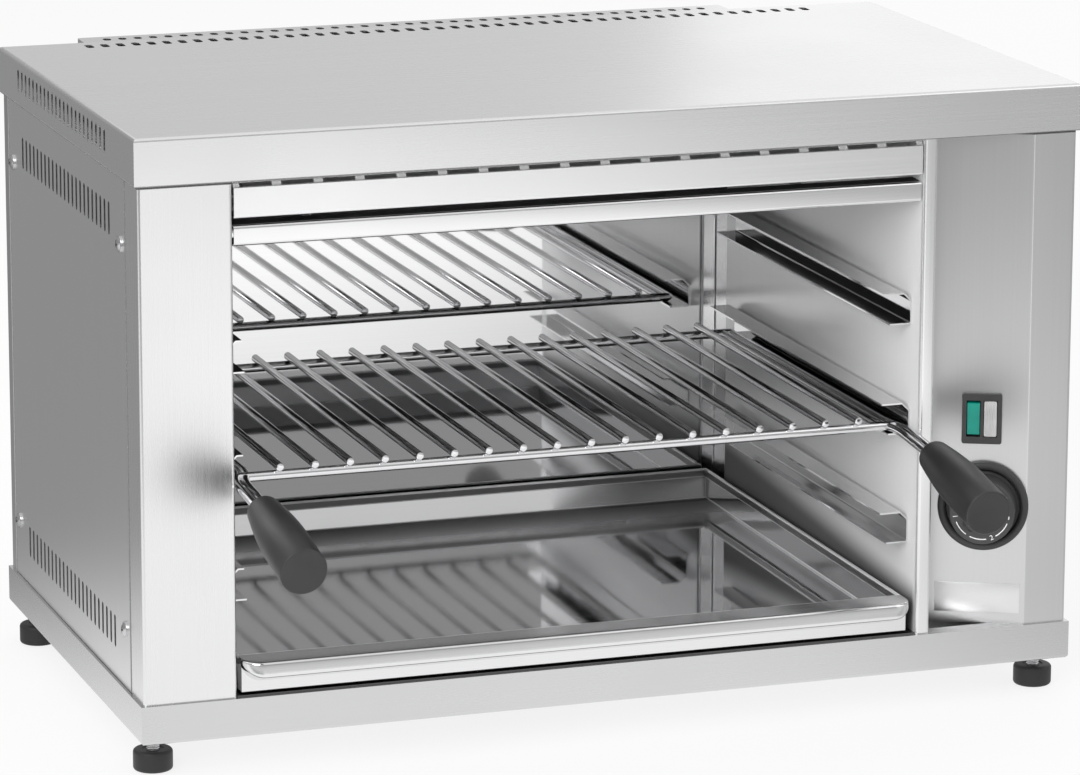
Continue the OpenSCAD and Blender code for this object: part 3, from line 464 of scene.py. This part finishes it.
# The tray gets painted shade: grey on its hem and far corner, black along its floor's back
tray_steel = sheet_steel("tray_steel", grey(0.79, 0.01), 0.045, "X", 0.02, browned=tray_hem_shade,
                         satin=tray_edges, matt=tray_front_wall, sooty=tray_floor_back_shade)
lip_steel = sheet_steel("lip_steel", grey(0.84, 0.005), 0.16, "X", 0.04)
floor_steel = sheet_steel("floor_steel", grey(0.20), 0.3, "X")
runner_steel = sheet_steel("runner_steel", grey(0.80, 0.005), 0.08, "Y")
# Wires and rods get painted shade on their lower half
wire_chrome = sheet_steel("wire_chrome", CHROME, 0.14, "Y", 0.0,
                          browned=underside("rack_frame", 3.5 * MM, 25 * MM))
rod_chrome = sheet_steel("rod_chrome", CHROME, 0.14, "Y", 0.0,
                         browned=underside("rack_rods", 3.2 * MM, 24 * MM))
turned_steel = sheet_steel("turned_steel", grey(0.66, 0.01), 0.22, "X", 0.0)
element_steel = sheet_steel("element_steel", (0.16, 0.15, 0.145), 0.5, "X", 0.0)
plate_steel = sheet_steel("plate_steel", grey(0.90, 0.005), 0.36, "X", 0.0)
grip_black = plastic("grip_black", grey(0.025, 0.001), 0.42)
switch_black = plastic("switch_black", grey(0.034, 0.001), 0.40)
rocker_green = plastic("rocker_green", (0.0, 0.23, 0.175), 0.30, 0.03)
lens_clear = plastic("lens_clear", grey(0.48), 0.20, 0.03, coat=0.3)
dial_black = plastic("dial_black", grey(0.040, 0.001), 0.50)
knob_black = plastic("knob_black", grey(0.048, 0.001), 0.48)
mark_white = plastic("mark_white", grey(0.82), 0.5, 0.02)
rubber_black = plastic("rubber_black", grey(0.016, 0.001), 0.5)
pale_plastic = plastic("pale_plastic", (0.72, 0.68, 0.56), 0.45)


# ---- Shop: how pieces are made -----------------------------------------------------------

# Sharper corners than these stay sharp: in bent sheet, turned pieces, folds and wires
BENDS, TURNS, FOLDS = math.radians(30), math.radians(35), math.radians(40)


def let_go():
    bpy.ops.object.select_all(action="DESELECT")


def take(obj):
    """Selects one piece alone and makes it the one that operators act on."""
    let_go()
    obj.select_set(True)
    bpy.context.view_layer.objects.active = obj


def edit(select=True):
    bpy.ops.object.mode_set(mode="EDIT")
    bpy.ops.mesh.select_all(action="SELECT" if select else "DESELECT")


def done():
    bpy.ops.object.mode_set(mode="OBJECT")


def named(name):
    """The piece just made, under its name."""
    obj = bpy.context.object
    obj.name = obj.data.name = name
    return obj


def apply_modifiers(obj):
    for mod in list(obj.modifiers):
        bpy.ops.object.modifier_apply(modifier=mod.name)


def smooth(obj, angle=BENDS):
    take(obj)
    bpy.ops.object.shade_smooth_by_angle(angle=angle)
    apply_modifiers(obj)
    return obj


def true_flats(obj):
    """Keeps broad faces flat to the eye beside narrow rounded edges."""
    take(obj)
    mod = obj.modifiers.new("flats", "WEIGHTED_NORMAL")
    mod.keep_sharp = True
    apply_modifiers(obj)
    return obj


def pick(obj, wanted, mode="VERT"):
    """Opens a piece for editing with the points chosen by their place."""
    take(obj)
    edit(False)
    bpy.ops.mesh.select_mode(type="VERT")
    done()
    for vert in obj.data.vertices:
        vert.select = wanted(vert.co)
    bpy.ops.object.mode_set(mode="EDIT")
    bpy.ops.mesh.select_mode(type=mode)


def finish(obj, mat, body):
    """Gives a piece its material and the body it moves with."""
    obj.data.materials.clear()
    obj.data.materials.append(mat)
    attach(obj, body)


def stand_in(obj, mat, node):
    """Finishes a piece with its node's own body, and hides the node behind it."""
    finish(obj, mat, BODY[node])
    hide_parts(node)


def set_at(obj, place):
    """Moves the mesh itself, so that the object stays at the origin."""
    obj.matrix_world = place
    take(obj)
    bpy.ops.object.transform_apply(location=True, rotation=True, scale=True)
    return obj


def joined(name, pieces):
    let_go()
    for piece in pieces:
        piece.select_set(True)
    bpy.context.view_layer.objects.active = pieces[0]
    bpy.ops.object.join()
    return named(name)


def copy_at(obj, place):
    """A copy with its own mesh, moved by the matrix."""
    twin = obj.copy()
    twin.data = obj.data.copy()
    bpy.context.scene.collection.objects.link(twin)
    return set_at(twin, place)


def arc(across, up, radius, start, end, steps):
    """Points round a centre from one angle to another, in degrees."""
    angles = [math.radians(start + (end - start) * i / steps) for i in range(steps + 1)]
    return [(across + radius * math.cos(t), up + radius * math.sin(t)) for t in angles]


def turned(name, profile, sides):
    """A turned piece along Z, drawn up from a disc through (radius, height) in mm."""
    let_go()
    radius, height = profile[0]
    bpy.ops.mesh.primitive_circle_add(vertices=sides, radius=radius * MM,
                                      location=(0, 0, height * MM), fill_type="NGON")
    obj = named(name)
    bpy.ops.object.transform_apply(location=True)
    edit()
    for (r0, z0), (r1, z1) in zip(profile, profile[1:]):
        bpy.ops.mesh.extrude_region_move(
            TRANSFORM_OT_translate={"value": (0, 0, (z1 - z0) * MM)})
        if r1 != r0:
            bpy.ops.transform.resize(value=(r1 / r0, r1 / r0, 1),
                                     center_override=(0, 0, z1 * MM))
    bpy.ops.mesh.select_all(action="SELECT")
    bpy.ops.mesh.normals_make_consistent(inside=False)
    done()
    return obj


def wire(name, points, radius, corner, resolution):
    """A round wire through points in mm, bent round over the corner length at each."""
    path = [Vector(points[0])]
    for a, b, c in zip(points, points[1:], points[2:]):
        a, b, c = Vector(a), Vector(b), Vector(c)
        start = b + (a - b).normalized() * min(corner, (a - b).length * 0.49)
        end = b + (c - b).normalized() * min(corner, (c - b).length * 0.49)
        for i in range(9):
            t = i / 8
            path.append(start * (1 - t) ** 2 + b * 2 * t * (1 - t) + end * t ** 2)
    path.append(Vector(points[-1]))
    curve = bpy.data.curves.new(name, "CURVE")
    curve.dimensions = "3D"
    curve.bevel_depth = radius * MM
    curve.bevel_resolution = resolution
    curve.use_fill_caps = True
    spline = curve.splines.new("POLY")
    spline.points.add(len(path) - 1)
    for point, place in zip(spline.points, path):
        point.co = (*(place * MM), 1)
    obj = bpy.data.objects.new(name, curve)
    bpy.context.scene.collection.objects.link(obj)
    take(obj)
    bpy.ops.object.convert(target="MESH")
    edit()
    bpy.ops.mesh.remove_doubles(threshold=0.000001)
    bpy.ops.mesh.normals_make_consistent(inside=False)
    done()
    return bpy.context.object


def block(name, size, bevel, segments):
    """A block of size in mm about the origin, with all its edges rounded."""
    let_go()
    bpy.ops.mesh.primitive_cube_add(size=1)
    obj = named(name)
    edit()
    bpy.ops.transform.resize(value=[s * MM for s in size])
    bpy.ops.mesh.bevel(offset=bevel * MM, segments=segments)
    done()
    return obj


def dressed(node, mat, edge=0.0):
    """The solid's own form as a piece: merged, its bends shaded round, its edges eased."""
    obj = bpy.data.objects.new(node + "_form", nodes[node].data.copy())
    bpy.context.scene.collection.objects.link(obj)
    take(obj)
    edit()
    bpy.ops.mesh.remove_doubles(threshold=0.000004)
    bpy.ops.mesh.customdata_custom_splitnormals_clear()
    if edge:
        bpy.ops.mesh.dissolve_limited(angle_limit=math.radians(0.4))
    done()
    if edge:
        mod = obj.modifiers.new("edge", "BEVEL")
        mod.width = edge * MM
        mod.segments = 2
        mod.angle_limit = FOLDS
        mod.use_clamp_overlap = True
        apply_modifiers(obj)
    stand_in(true_flats(smooth(obj)), mat, node)


# ---- Sheet metal -------------------------------------------------------------------------

SHEET = {
    "lid": lid_steel, "base_pan": base_steel, "left_column": column_steel,
    "right_post": post_steel, "control_panel": panel_steel, "back_panel": panel_steel,
    "left_side_panel": side_steel, "right_side_panel": side_steel,
    "rear_vent_box": vent_steel, "cavity_floor": floor_steel, "reflector": reflector_steel,
    "upper_front_rail": vent_rail_steel, "lower_front_rail": rail_steel,
    "element_hangers": dark_steel,
    "left_side_screws": turned_steel, "right_side_screws": turned_steel,
    "rear_box_screws": turned_steel, "heating_elements": element_steel,
    **{node: runner_steel for node in nodes if node.startswith("runner")},
}
for node, mat in SHEET.items():
    dressed(node, mat)

# Solids that stay as they are, most of them hidden
PLAIN = {
    "element_bushings": turned_steel, "regulator_shaft": turned_steel,
    "regulator_body": pale_plastic, "terminal_block": pale_plastic,
    "gland_nut": switch_black, "foot_nuts": turned_steel,
}
for node, mat in PLAIN.items():
    for place in nodes[node].material_slots:
        place.material = mat


# ---- Drip tray ---------------------------------------------------------------------------

# In mm: nose of the lip and apron under it from the lid's front, and the lip's round ends
LIP_NOSE, APRON_Y, LIP_END_R = -7.0, 4.5, 12.0
NOSE_R = 1.2

# In mm: how far the pan's side and end walls lean out, and the width of its folded rim
SIDE_LEAN, END_LEAN, RIM_W = 1.2, 3.4, 1.3


def thickened(obj):
    """Gives an open folded sheet its thickness on the side away from its lit face."""
    take(obj)
    edit()
    bpy.ops.mesh.normals_make_consistent(inside=False)
    done()
    lit = max(obj.data.polygons, key=lambda face: face.area).normal
    if lit.z <= 0 and lit.y >= -0.5:
        edit()
        bpy.ops.mesh.flip_normals()
        done()
    mod = obj.modifiers.new("sheet", "SOLIDIFY")
    mod.thickness = TRAY_T * MM
    mod.offset = -1
    mod = obj.modifiers.new("folds", "BEVEL")
    mod.width = 0.6 * MM
    mod.segments = 3
    mod.angle_limit = FOLDS
    apply_modifiers(obj)
    return true_flats(smooth(obj, FOLDS))


def tray_pan(x0, x1, y1, z0):
    """Pan with leaning walls, its rim folded inwards and down as a hem."""
    y0 = TRAY_Y + END_LEAN
    w, d = x1 - x0 - 2 * SIDE_LEAN, y1 - y0 - END_LEAN
    middle = case_at((x0 + x1) / 2, y0 + d / 2, z0 + TRAY_T) * MM
    let_go()
    bpy.ops.mesh.primitive_plane_add(size=1)
    obj = named("tray_pan")
    edit()
    bpy.ops.transform.resize(value=(w * MM, d * MM, 1))
    bpy.ops.transform.translate(value=middle)
    bpy.ops.mesh.select_mode(type="EDGE")
    bpy.ops.mesh.select_all(action="SELECT")
    for wider, deeper, rise in ((SIDE_LEAN, END_LEAN, TRAY_H - TRAY_T), (-RIM_W, -RIM_W, 0),
                                (0, 0, -TRAY_HEM)):
        bpy.ops.mesh.extrude_edges_move(
            TRANSFORM_OT_translate={"value": (0, 0, rise * MM)})
        bpy.ops.transform.resize(value=((w + 2 * wider) / w, (d + 2 * deeper) / d, 1),
                                 center_override=middle)
        w, d = w + 2 * wider, d + 2 * deeper
    done()
    return thickened(obj)


def folded(name, x0, x1, profile):
    """A sheet from x0 to x1 folded along a profile of (y, z), drawn edge by edge."""
    let_go()
    bpy.ops.mesh.primitive_plane_add(size=1)
    obj = named(name)
    edit()
    bpy.ops.transform.resize(value=((x1 - x0) * MM, 1, 1))
    done()
    first, second = profile[:2]
    for vert in obj.data.vertices:
        end = case_at((x0 + x1) / 2, *(first if vert.co.y < 0 else second))
        vert.co = Vector((vert.co.x, 0, 0)) + end * MM
    for (ya, za), (yb, zb) in zip(profile[1:], profile[2:]):
        last = case_at(0, ya, za) * MM
        pick(obj, lambda co: (co.yz - last.yz).length < 1e-6, "EDGE")
        bpy.ops.mesh.extrude_edges_move(
            TRANSFORM_OT_translate={"value": (0, (yb - ya) * MM, (zb - za) * MM)})
        done()
    return obj


def tray_lip(x0, x1, z_top):
    """Lip rolled over the front: flat top, full nose, its ends drawn in round."""
    line = [(TRAY_Y + 0.5, z_top), (APRON_Y, z_top), (LIP_NOSE + NOSE_R, z_top)]
    line += arc(LIP_NOSE + NOSE_R, z_top - NOSE_R, NOSE_R, 112.5, 157.5, 2)
    line += [(LIP_NOSE - 0.1, z_top - 1.4), (LIP_NOSE - 1.1, z_top - 6.2),
             (LIP_NOSE - 1.0, z_top - 7.2), (LIP_NOSE - 0.2, z_top - 8.0),
             (APRON_Y - 1.5, z_top - 12.2), (APRON_Y - 0.3, z_top - 12.4)]
    obj = folded("tray_lip", x0, x1, line)
    pivot = case_at(0, APRON_Y, z_top) * MM
    steps = 10
    turns = [math.pi / 2 * i / steps for i in range(steps + 1)]
    for side, end in ((1, x0), (-1, x1)):
        cuts = [(end + side * LIP_END_R * (1 - math.cos(turn))) * MM for turn in turns]
        for x in cuts[1:]:
            pick(obj, lambda co: True, "FACE")
            bpy.ops.mesh.bisect(plane_co=(x, 0, 0), plane_no=(1, 0, 0))
            done()
        for x, turn in zip(cuts[:-1], turns):
            size = max(math.sin(turn), 0.05)
            pick(obj, lambda co: abs(co.x - x) < 2e-6 and co.y < pivot.y - 1e-5)
            bpy.ops.transform.resize(value=(1, size, size), center_override=(x, *pivot.yz))
            done()
    return thickened(obj)


def drip_tray():
    """The pan, and its front made of the apron with the rolled lip over it."""
    low, high = (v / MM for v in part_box("drip_tray"))
    z0 = low.z - BASE_Z / MM
    z_top = z0 + TRAY_H
    apron = thickened(folded("tray_apron", low.x, high.x, [
        (APRON_Y, z_top - 0.3), (APRON_Y, z0 + 1.2), (APRON_Y + 1, z0 + 0.4),
        (TRAY_Y + 4, z0 + 0.4)]))
    lip = tray_lip(low.x + 0.2, high.x - 0.2, z_top)
    pan = tray_pan(low.x, high.x, high.y - CASE_FRONT / MM, z0)
    stand_in(pan, tray_steel, "drip_tray")
    front = joined("tray_front", [lip, apron])
    finish(front, lip_steel, BODY["drip_tray"])


drip_tray()


# ---- Rack --------------------------------------------------------------------------------

# In mm: rods, front and back bars, side wires
ROD_COUNT, ROD_D, BAR_D, WIRE_D = 18, 5.0, 6.0, 5.0
# In mm from the lid's front and the base's underside: both bars and the grips' necks
FRONT_BAR_Y, BACK_BAR_Y, BAR_Z = 24.0, 301.0, 153.3
NECK_Y, NECK_Z = -34.0, 148.3
# In mm: outer side wires from the rack's middle, and between the two wires of a side
WIRE_OUT, WIRE_PITCH = 209.0, 6.0
GRIP_SLOPE = math.radians(10.6)
GRIP_LEN, GRIP_D, NECK_D, SHOULDER_R = 86.9, 28.4, 20.5, 4.0
SWELL = 0.6     # share of a grip's length over which it widens


def middle_x(node):
    low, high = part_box(node)
    return (low.x + high.x) / 2 / MM


def neck_of(node):
    """The middle of a grip's neck, in mm."""
    return case_at(middle_x(node), NECK_Y, NECK_Z)


def grip(node):
    """Moulded grip: round shoulder, swelling flank, crisp end with a shallow dished face."""
    r_neck, r = NECK_D / 2, GRIP_D / 2
    profile = [(1, 0.4), (r_neck - SHOULDER_R - 0.6, 0)]
    profile += arc(r_neck - SHOULDER_R, SHOULDER_R, SHOULDER_R, -90, 0, 9)
    for i in range(1, 17):
        t = i / 16
        profile.append((r_neck + (r - r_neck) * math.sin(math.pi / 2 * t),
                        SHOULDER_R + t * (GRIP_LEN * SWELL - SHOULDER_R)))
    for inset, short in ((0, 1.1), (0.15, 0.5), (0.5, 0.12), (1.0, 0), (1.6, 0.05),
                         (2.2, 0.3), (r - 1.0, 0.3)):
        profile.append((r - inset, GRIP_LEN - short))
    obj = smooth(turned(node + "_moulding", profile, 72), TURNS)
    set_at(obj, Matrix.Translation(neck_of(node) * MM)
           @ Matrix.Rotation(math.pi / 2 + GRIP_SLOPE, 4, "X"))
    stand_in(obj, grip_black, node)


def rack_wires():
    """Front and back bars, and two side wires each side that bend down into a grip."""
    mid = middle_x("rack_frame")
    _, front, z = case_at(0, FRONT_BAR_Y, BAR_Z)
    back = case_at(0, BACK_BAR_Y, 0).y
    r = BAR_D / 2
    pieces = []
    for y, half in ((front, WIRE_OUT + WIRE_D / 2), (back, WIRE_OUT)):
        bar = turned("bar", [(r - 0.5, 0), (r, 0.5), (r, 2 * half - 0.5),
                             (r - 0.5, 2 * half)], 32)
        pieces.append(set_at(bar, Matrix.Translation(Vector((mid - half, y, z)) * MM)
                             @ Matrix.Rotation(math.pi / 2, 4, "Y")))
    into = Vector((0, -math.cos(GRIP_SLOPE), -math.sin(GRIP_SLOPE)))
    for side, node in ((-1, "left_grip"), (1, "right_grip")):
        neck = neck_of(node)
        for out, offset in ((WIRE_OUT, WIRE_PITCH / 2),
                            (WIRE_OUT - WIRE_PITCH, -WIRE_PITCH / 2)):
            x = mid + side * out
            over = Vector((side * offset, 0, 0))
            pieces.append(wire("side_wire", [
                (x, back, z), (x, front + 10, z),
                Vector((neck.x, front - 10, z - 0.5)) + over,
                neck + over - into * 4, neck + over + into * 40], WIRE_D / 2, 9.0, 7))
    stand_in(smooth(joined("rack_wires", pieces), FOLDS), wire_chrome, "rack_frame")


def rack_rods():
    """Round rods with eased ends, evenly across the rack."""
    low, high = (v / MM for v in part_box("rack_rods"))
    length = high.y - low.y
    r = ROD_D / 2
    rod = turned("rod", [(r - 0.7, 0), (r - 0.25, 0.15), (r, 0.7), (r, length - 0.7),
                         (r - 0.25, length - 0.15), (r - 0.7, length)], 24)
    pitch = (high.x - low.x - ROD_D) / (ROD_COUNT - 1)
    rods = []
    for i in range(ROD_COUNT):
        x = middle_x("rack_rods") + (i - (ROD_COUNT - 1) / 2) * pitch
        rods.append(copy_at(rod, Matrix.Translation(
            Vector((x, low.y, (low.z + high.z) / 2)) * MM)
            @ Matrix.Rotation(-math.pi / 2, 4, "X")))
    bpy.data.objects.remove(rod)
    stand_in(smooth(joined("cross_rods", rods), FOLDS), rod_chrome, "rack_rods")


grip("left_grip")
grip("right_grip")
rack_wires()
rack_rods()


# ---- Controls ----------------------------------------------------------------------------

# Middles on the panel in mm: left of its bend, and up from the base's underside
DIAL, SWITCH, PLATE = (27.0, 100.2), (28.8, 155.8), (29.7, 40.5)
# In mm: dial ring, its width and crown; knob, its face and marks; knob's bar and the plate
DIAL_R, RING_W, CROWN_R = 28.25, 4.8, 2.0
KNOB_H, KNOB_FACE_R, MARK_R = 20.0, 20.2, 16.9
KNOB_BAR, PLATE_SIZE = (27, 9, 7.4), (53, 19, 1.2)
# Pilot lens: its middle from the switch's, its size in mm, and its ribs
LENS_OFF, LENS_W, LENS_H, RIB_COUNT = 5.25, 7.9, 21.0, 7
# In degrees round the knob's face: arcs of the scale, and its numerals
SCALE_ARCS = ((-159, -125), (-116, -80), (-59, -22), (-13, -6))
NUMERALS = (("1", -171), ("2", -68), ("3", 35))


def on_panel(across, up, out=0.0):
    """Place on the slanted panel: X to the right, Y up, Z out of the sheet."""
    right = Vector((math.cos(PANEL_SLANT), -math.sin(PANEL_SLANT), 0))
    normal = Vector((-math.sin(PANEL_SLANT), -math.cos(PANEL_SLANT), 0))
    origin = case_at(*PANEL_BEND, up) - right * across + normal * out
    turn = Matrix((right, Vector((0, 0, 1)), normal)).transposed().to_4x4()
    return Matrix.Translation(origin * MM) @ turn


def dial_ring():
    """Fixed ring with a rounded crown and a thin floor round the knob."""
    outer, inner = DIAL_R, DIAL_R - RING_W
    profile = [(5, 0), (outer, 0), (outer, 3.0)]
    profile += arc(outer - CROWN_R, 3.0, CROWN_R, 15, 90, 5)
    profile += arc(inner + CROWN_R, 3.0, CROWN_R, 90, 180, 6)
    profile += [(inner, 0.9), (inner - 0.4, 0.5), (5, 0.5)]
    obj = smooth(turned("dial_surround", profile, 96), TURNS)
    stand_in(set_at(obj, on_panel(*DIAL)), dial_black, "dial_ring")


def knob():
    """Turned knob with a face for the scale and a grip bar across it."""
    r = KNOB_FACE_R
    profile = [(8, 0.8), (22.2, 0.8), (22.65, 1.2), (22.65, 2.6), (22.2, 3.1), (21.4, 3.5),
               (r + 0.6, 4.4), (r + 0.1, 12), (r, KNOB_H - 1.1), (r - 0.12, KNOB_H - 0.5),
               (r - 0.45, KNOB_H - 0.1), (r - 1.0, KNOB_H), (4, KNOB_H)]
    body = smooth(turned("knob_body", profile, 96), TURNS)
    bar = set_at(block("knob_bar", KNOB_BAR, 2.6, 6),
                 Matrix.Translation((0, 0, (KNOB_H + 3.3) * MM)))
    pick(bar, lambda co: co.z > (KNOB_H + 4) * MM)
    bpy.ops.transform.resize(value=(0.93, 0.82, 1), center_override=(0, 0, KNOB_H * MM))
    done()
    set_at(smooth(bar, math.radians(50)), Matrix.Rotation(math.pi / 4, 4, "Z"))
    obj = joined("turning_knob", [body, bar])
    stand_in(set_at(obj, on_panel(*DIAL)), knob_black, "knob")


def numeral(sign, angle):
    """A numeral on the knob's face, its head to the middle."""
    let_go()
    bpy.ops.object.text_add()
    text = bpy.context.object.data
    text.body = sign
    text.size = 4.4 * MM
    text.align_x = "CENTER"
    text.align_y = "CENTER"
    text.extrude = 0.3 * MM
    text.resolution_u = 3
    bpy.ops.object.convert(target="MESH")
    t = math.radians(angle)
    place = Matrix.Translation((MARK_R * MM * math.cos(t), MARK_R * MM * math.sin(t), 0))
    return set_at(bpy.context.object, place @ Matrix.Rotation(t + math.pi / 2, 4, "Z"))


def scale_marks():
    """White arcs and numerals, printed a hair proud on the knob's face."""
    pieces = []
    for start, end in SCALE_ARCS:
        points = arc(0, 0, MARK_R, start, end, max(2, (end - start) // 3))
        pieces.append(wire("arc", [(x, y, 0) for x, y in points], 0.32, 0.0, 2))
    pieces += [numeral(sign, angle) for sign, angle in NUMERALS]
    obj = joined("knob_scale", pieces)
    set_at(obj, on_panel(*DIAL, KNOB_H) @ Matrix.Diagonal((1, 1, 0.2, 1)))
    finish(smooth(obj), mark_white, "knob")


def lens_ribs():
    """Fine upright ribs moulded in the pilot lens."""
    rib = block("rib", (0.55, LENS_H, 0.5), 0.2, 2)
    pieces = []
    for i in range(RIB_COUNT):
        across = LENS_OFF + (i - (RIB_COUNT - 1) / 2) * LENS_W / (RIB_COUNT + 0.6)
        pieces.append(copy_at(rib, on_panel(SWITCH[0] - across, SWITCH[1], 1.95)))
    bpy.data.objects.remove(rib)
    finish(smooth(joined("lens_ribs", pieces)), lens_clear, "case")


def bare_plate():
    """Thin plate low on the panel, left without any name."""
    obj = block("bare_plate", PLATE_SIZE, 0.15, 2)
    take(obj)
    edit(False)
    bpy.ops.mesh.select_mode(type="EDGE")
    done()
    for edge in obj.data.edges:
        a, b = (obj.data.vertices[i].co for i in edge.vertices)
        if abs(a.z - b.z) > 0.5 * MM:
            edge.select = True
    bpy.ops.object.mode_set(mode="EDIT")
    bpy.ops.mesh.bevel(offset=1.6 * MM, segments=5)
    done()
    set_at(smooth(obj), on_panel(*PLATE, -0.3))
    finish(obj, plate_steel, "case")


dial_ring()
knob()
scale_marks()
dressed("switch_frame", switch_black, 0.35)
dressed("power_rocker", rocker_green, 0.3)
dressed("pilot_lens", lens_clear, 0.25)
lens_ribs()
bare_plate()
dressed("cable_gland", switch_black, 0.3)


# ---- Feet --------------------------------------------------------------------------------

# In mm: radii of the rubber foot and the stud, and the stud's thread, up from the floor
FOOT_R, STUD_R = 12.0, 4.0
THREAD_PITCH, THREAD_DEPTH, THREAD_LOW, THREAD_HIGH = 1.25, 0.45, 5.0, 35.0


def feet():
    """Rubber feet with rounded edges, each on a threaded stud."""
    profile = [(9.6, 0)]
    profile += arc(FOOT_R - 2, 2, 2, -75, 0, 5)
    profile += arc(FOOT_R - 2.2, 10.8, 2.2, 0, 90, 6)
    profile += [(6.5, 13), (6.0, 12.4), (4.6, 12.4)]
    rubber = smooth(turned("rubber", profile, 64), TURNS)
    thread = [(STUD_R - 0.6, THREAD_LOW - 1)]
    height = THREAD_LOW
    while height < THREAD_HIGH:
        thread += [(STUD_R - THREAD_DEPTH, height), (STUD_R, height + THREAD_PITCH * 0.42),
                   (STUD_R, height + THREAD_PITCH * 0.58)]
        height += THREAD_PITCH
    thread.append((STUD_R - 0.6, THREAD_HIGH + 1))
    stud = smooth(turned("stud", thread, 32), TURNS)
    for corner in ("front_left", "front_right", "back_left", "back_right"):
        low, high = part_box("foot_" + corner)
        place = Matrix.Translation(((low.x + high.x) / 2, (low.y + high.y) / 2, low.z))
        for form, name, mat, node in ((rubber, "rubber_", rubber_black, "foot_"),
                                      (stud, "thread_", turned_steel, "stud_")):
            obj = copy_at(form, place)
            obj.name = name + corner
            stand_in(obj, mat, node + corner)
    bpy.data.objects.remove(rubber)
    bpy.data.objects.remove(stud)


feet()


# ---- Studio ------------------------------------------------------------------------------


def studio_floor():
    """Pale paper: white to the eye, and unevenly lit for what polished metal mirrors."""
    let_go()
    bpy.ops.mesh.primitive_plane_add(size=60, location=(0, 0, -0.0002))
    floor = named("studio_floor")
    mat, tree, shader = graph("floor_paper")
    shader.inputs["Base Color"].default_value = (0.86, 0.86, 0.86, 1)
    shader.inputs["Roughness"].default_value = 0.9

    # Bright before the left half, dimmer to the right, far out to the left and behind
    lit = turning(tree, "X", 0.30, 0.95, 1.22, 0.42)
    far_left = times(tree, turning(tree, "X", -0.75, 0.12, 1.0, 0.0),
                     turning(tree, "Y", -0.95, -0.45, 1.0, 0.0))
    lit = between(tree, far_left, lit, 0.27)
    lit = between(tree, turning(tree, "Y", -0.95, -0.35, 0.0, 1.0), lit,
                  turning(tree, "X", 0.10, 0.50, 1.0, 0.62))
    lit = between(tree, turning(tree, "Y", -0.1, 0.5, 0.0, 1.0), lit, 0.29)

    # To the eye it glows white and keeps only a faint shadow; in mirrors it only glows
    path = tree.nodes.new("ShaderNodeLightPath")
    mirrored = path.outputs["Is Glossy Ray"]
    seen = sums(tree, "ADD", path.outputs["Is Camera Ray"],
                path.outputs["Is Transmission Ray"], True)
    glow = tree.nodes.new("ShaderNodeEmission")
    feed(tree, glow.inputs["Strength"], between(tree, mirrored, 1.0, lit))
    mix = tree.nodes.new("ShaderNodeMixShader")
    feed(tree, mix.inputs[0], sums(tree, "ADD", times(tree, seen, 0.8), mirrored, True))
    feed(tree, mix.inputs[1], shader.outputs[0])
    feed(tree, mix.inputs[2], glow.outputs[0])
    feed(tree, tree.nodes["Material Output"].inputs["Surface"], mix.outputs[0])
    floor.data.materials.append(mat)


def studio_world():
    """Soft even light; polished metal sees a room that is pale above and greyer low down."""
    world = bpy.data.worlds.new("studio")
    bpy.context.scene.world = world
    world.use_nodes = True
    tree = world.node_tree
    path = tree.nodes.new("ShaderNodeLightPath")
    split = tree.nodes.new("ShaderNodeSeparateXYZ")
    around = tree.nodes.new("ShaderNodeTexCoord").outputs["Generated"]
    tree.links.new(around, split.inputs[0])
    x, y, z = split.outputs
    front = span(tree, z, 0.09, 0.17, 0.68, 0.36, True)
    back = span(tree, x, -0.3, 0.45, 0.34, 0.66, True)
    low = between(tree, span(tree, y, -0.3, 0.3, 0.0, 1.0, True), front, back)
    room = between(tree, span(tree, z, 0.30, 0.75, 0.0, 1.0, True), low, 0.85)
    strength = between(tree, path.outputs["Is Glossy Ray"], 0.62, room)
    strength = between(tree, path.outputs["Is Camera Ray"], strength, 1.0)
    sky = tree.nodes["Background"]
    sky.inputs["Color"].default_value = (1, 1, 1, 1)
    feed(tree, sky.inputs["Strength"], strength)


def softbox(name, place, target, size, power, mirrored):
    """A rectangular light; one that isn't mirrored lights only what scatters light."""
    light = bpy.data.lights.new(name, "AREA")
    light.shape = "RECTANGLE"
    light.size, light.size_y = size
    light.energy = power
    obj = bpy.data.objects.new(name, light)
    bpy.context.scene.collection.objects.link(obj)
    obj.location = place
    aim = Vector(target) - Vector(place)
    obj.rotation_euler = aim.to_track_quat("-Z", "Y").to_euler()
    obj.visible_glossy = mirrored


def camera():
    """A long lens a little above and left of the front."""
    data = bpy.data.cameras.new("camera")
    cam = bpy.data.objects.new("camera", data)
    bpy.context.scene.collection.objects.link(cam)
    place = (-1.04728, -3.01793, 0.94241)
    yaw, pitch, roll = 0.33098, 0.22049, 0.00265
    focal_px, frame_px = 5253.80478, 1080
    ahead = Vector((math.sin(yaw) * math.cos(pitch), math.cos(yaw) * math.cos(pitch),
                    -math.sin(pitch)))
    turn = ahead.to_track_quat("-Z", "Y").to_matrix().to_4x4()
    cam.matrix_world = Matrix.Translation(place) @ turn @ Matrix.Rotation(roll, 4, "Z")
    data.sensor_width = 36.0
    data.lens = focal_px / frame_px * 36.0
    data.shift_y = -0.05
    data.clip_start, data.clip_end = 0.1, 60.0
    bpy.context.scene.camera = cam


studio_floor()
studio_world()
for light in (
        ("key", (-2.4, -2.8, 2.5), (0, 0, 0.2), (2.4, 2.4), 60, True),
        ("cavity", (-1.5, -2.0, 0.75), (0.15, 0.05, 0.15), (0.9, 0.9), 25, False),
        ("fill", (2.8, -1.6, 2.2), (0, 0, 0.2), (3.2, 3.2), 20, True),
        ("top", (0, 0.6, 3.4), (0, 0, 0.2), (4.6, 4.0), 42, False),
        ("rear", (1.9, 2.4, 1.0), (0.2, 0, 0.3), (1.8, 1.4), 3.2, True)):
    softbox(*light)
camera()
bpy.context.scene.view_settings.view_transform = "Standard"
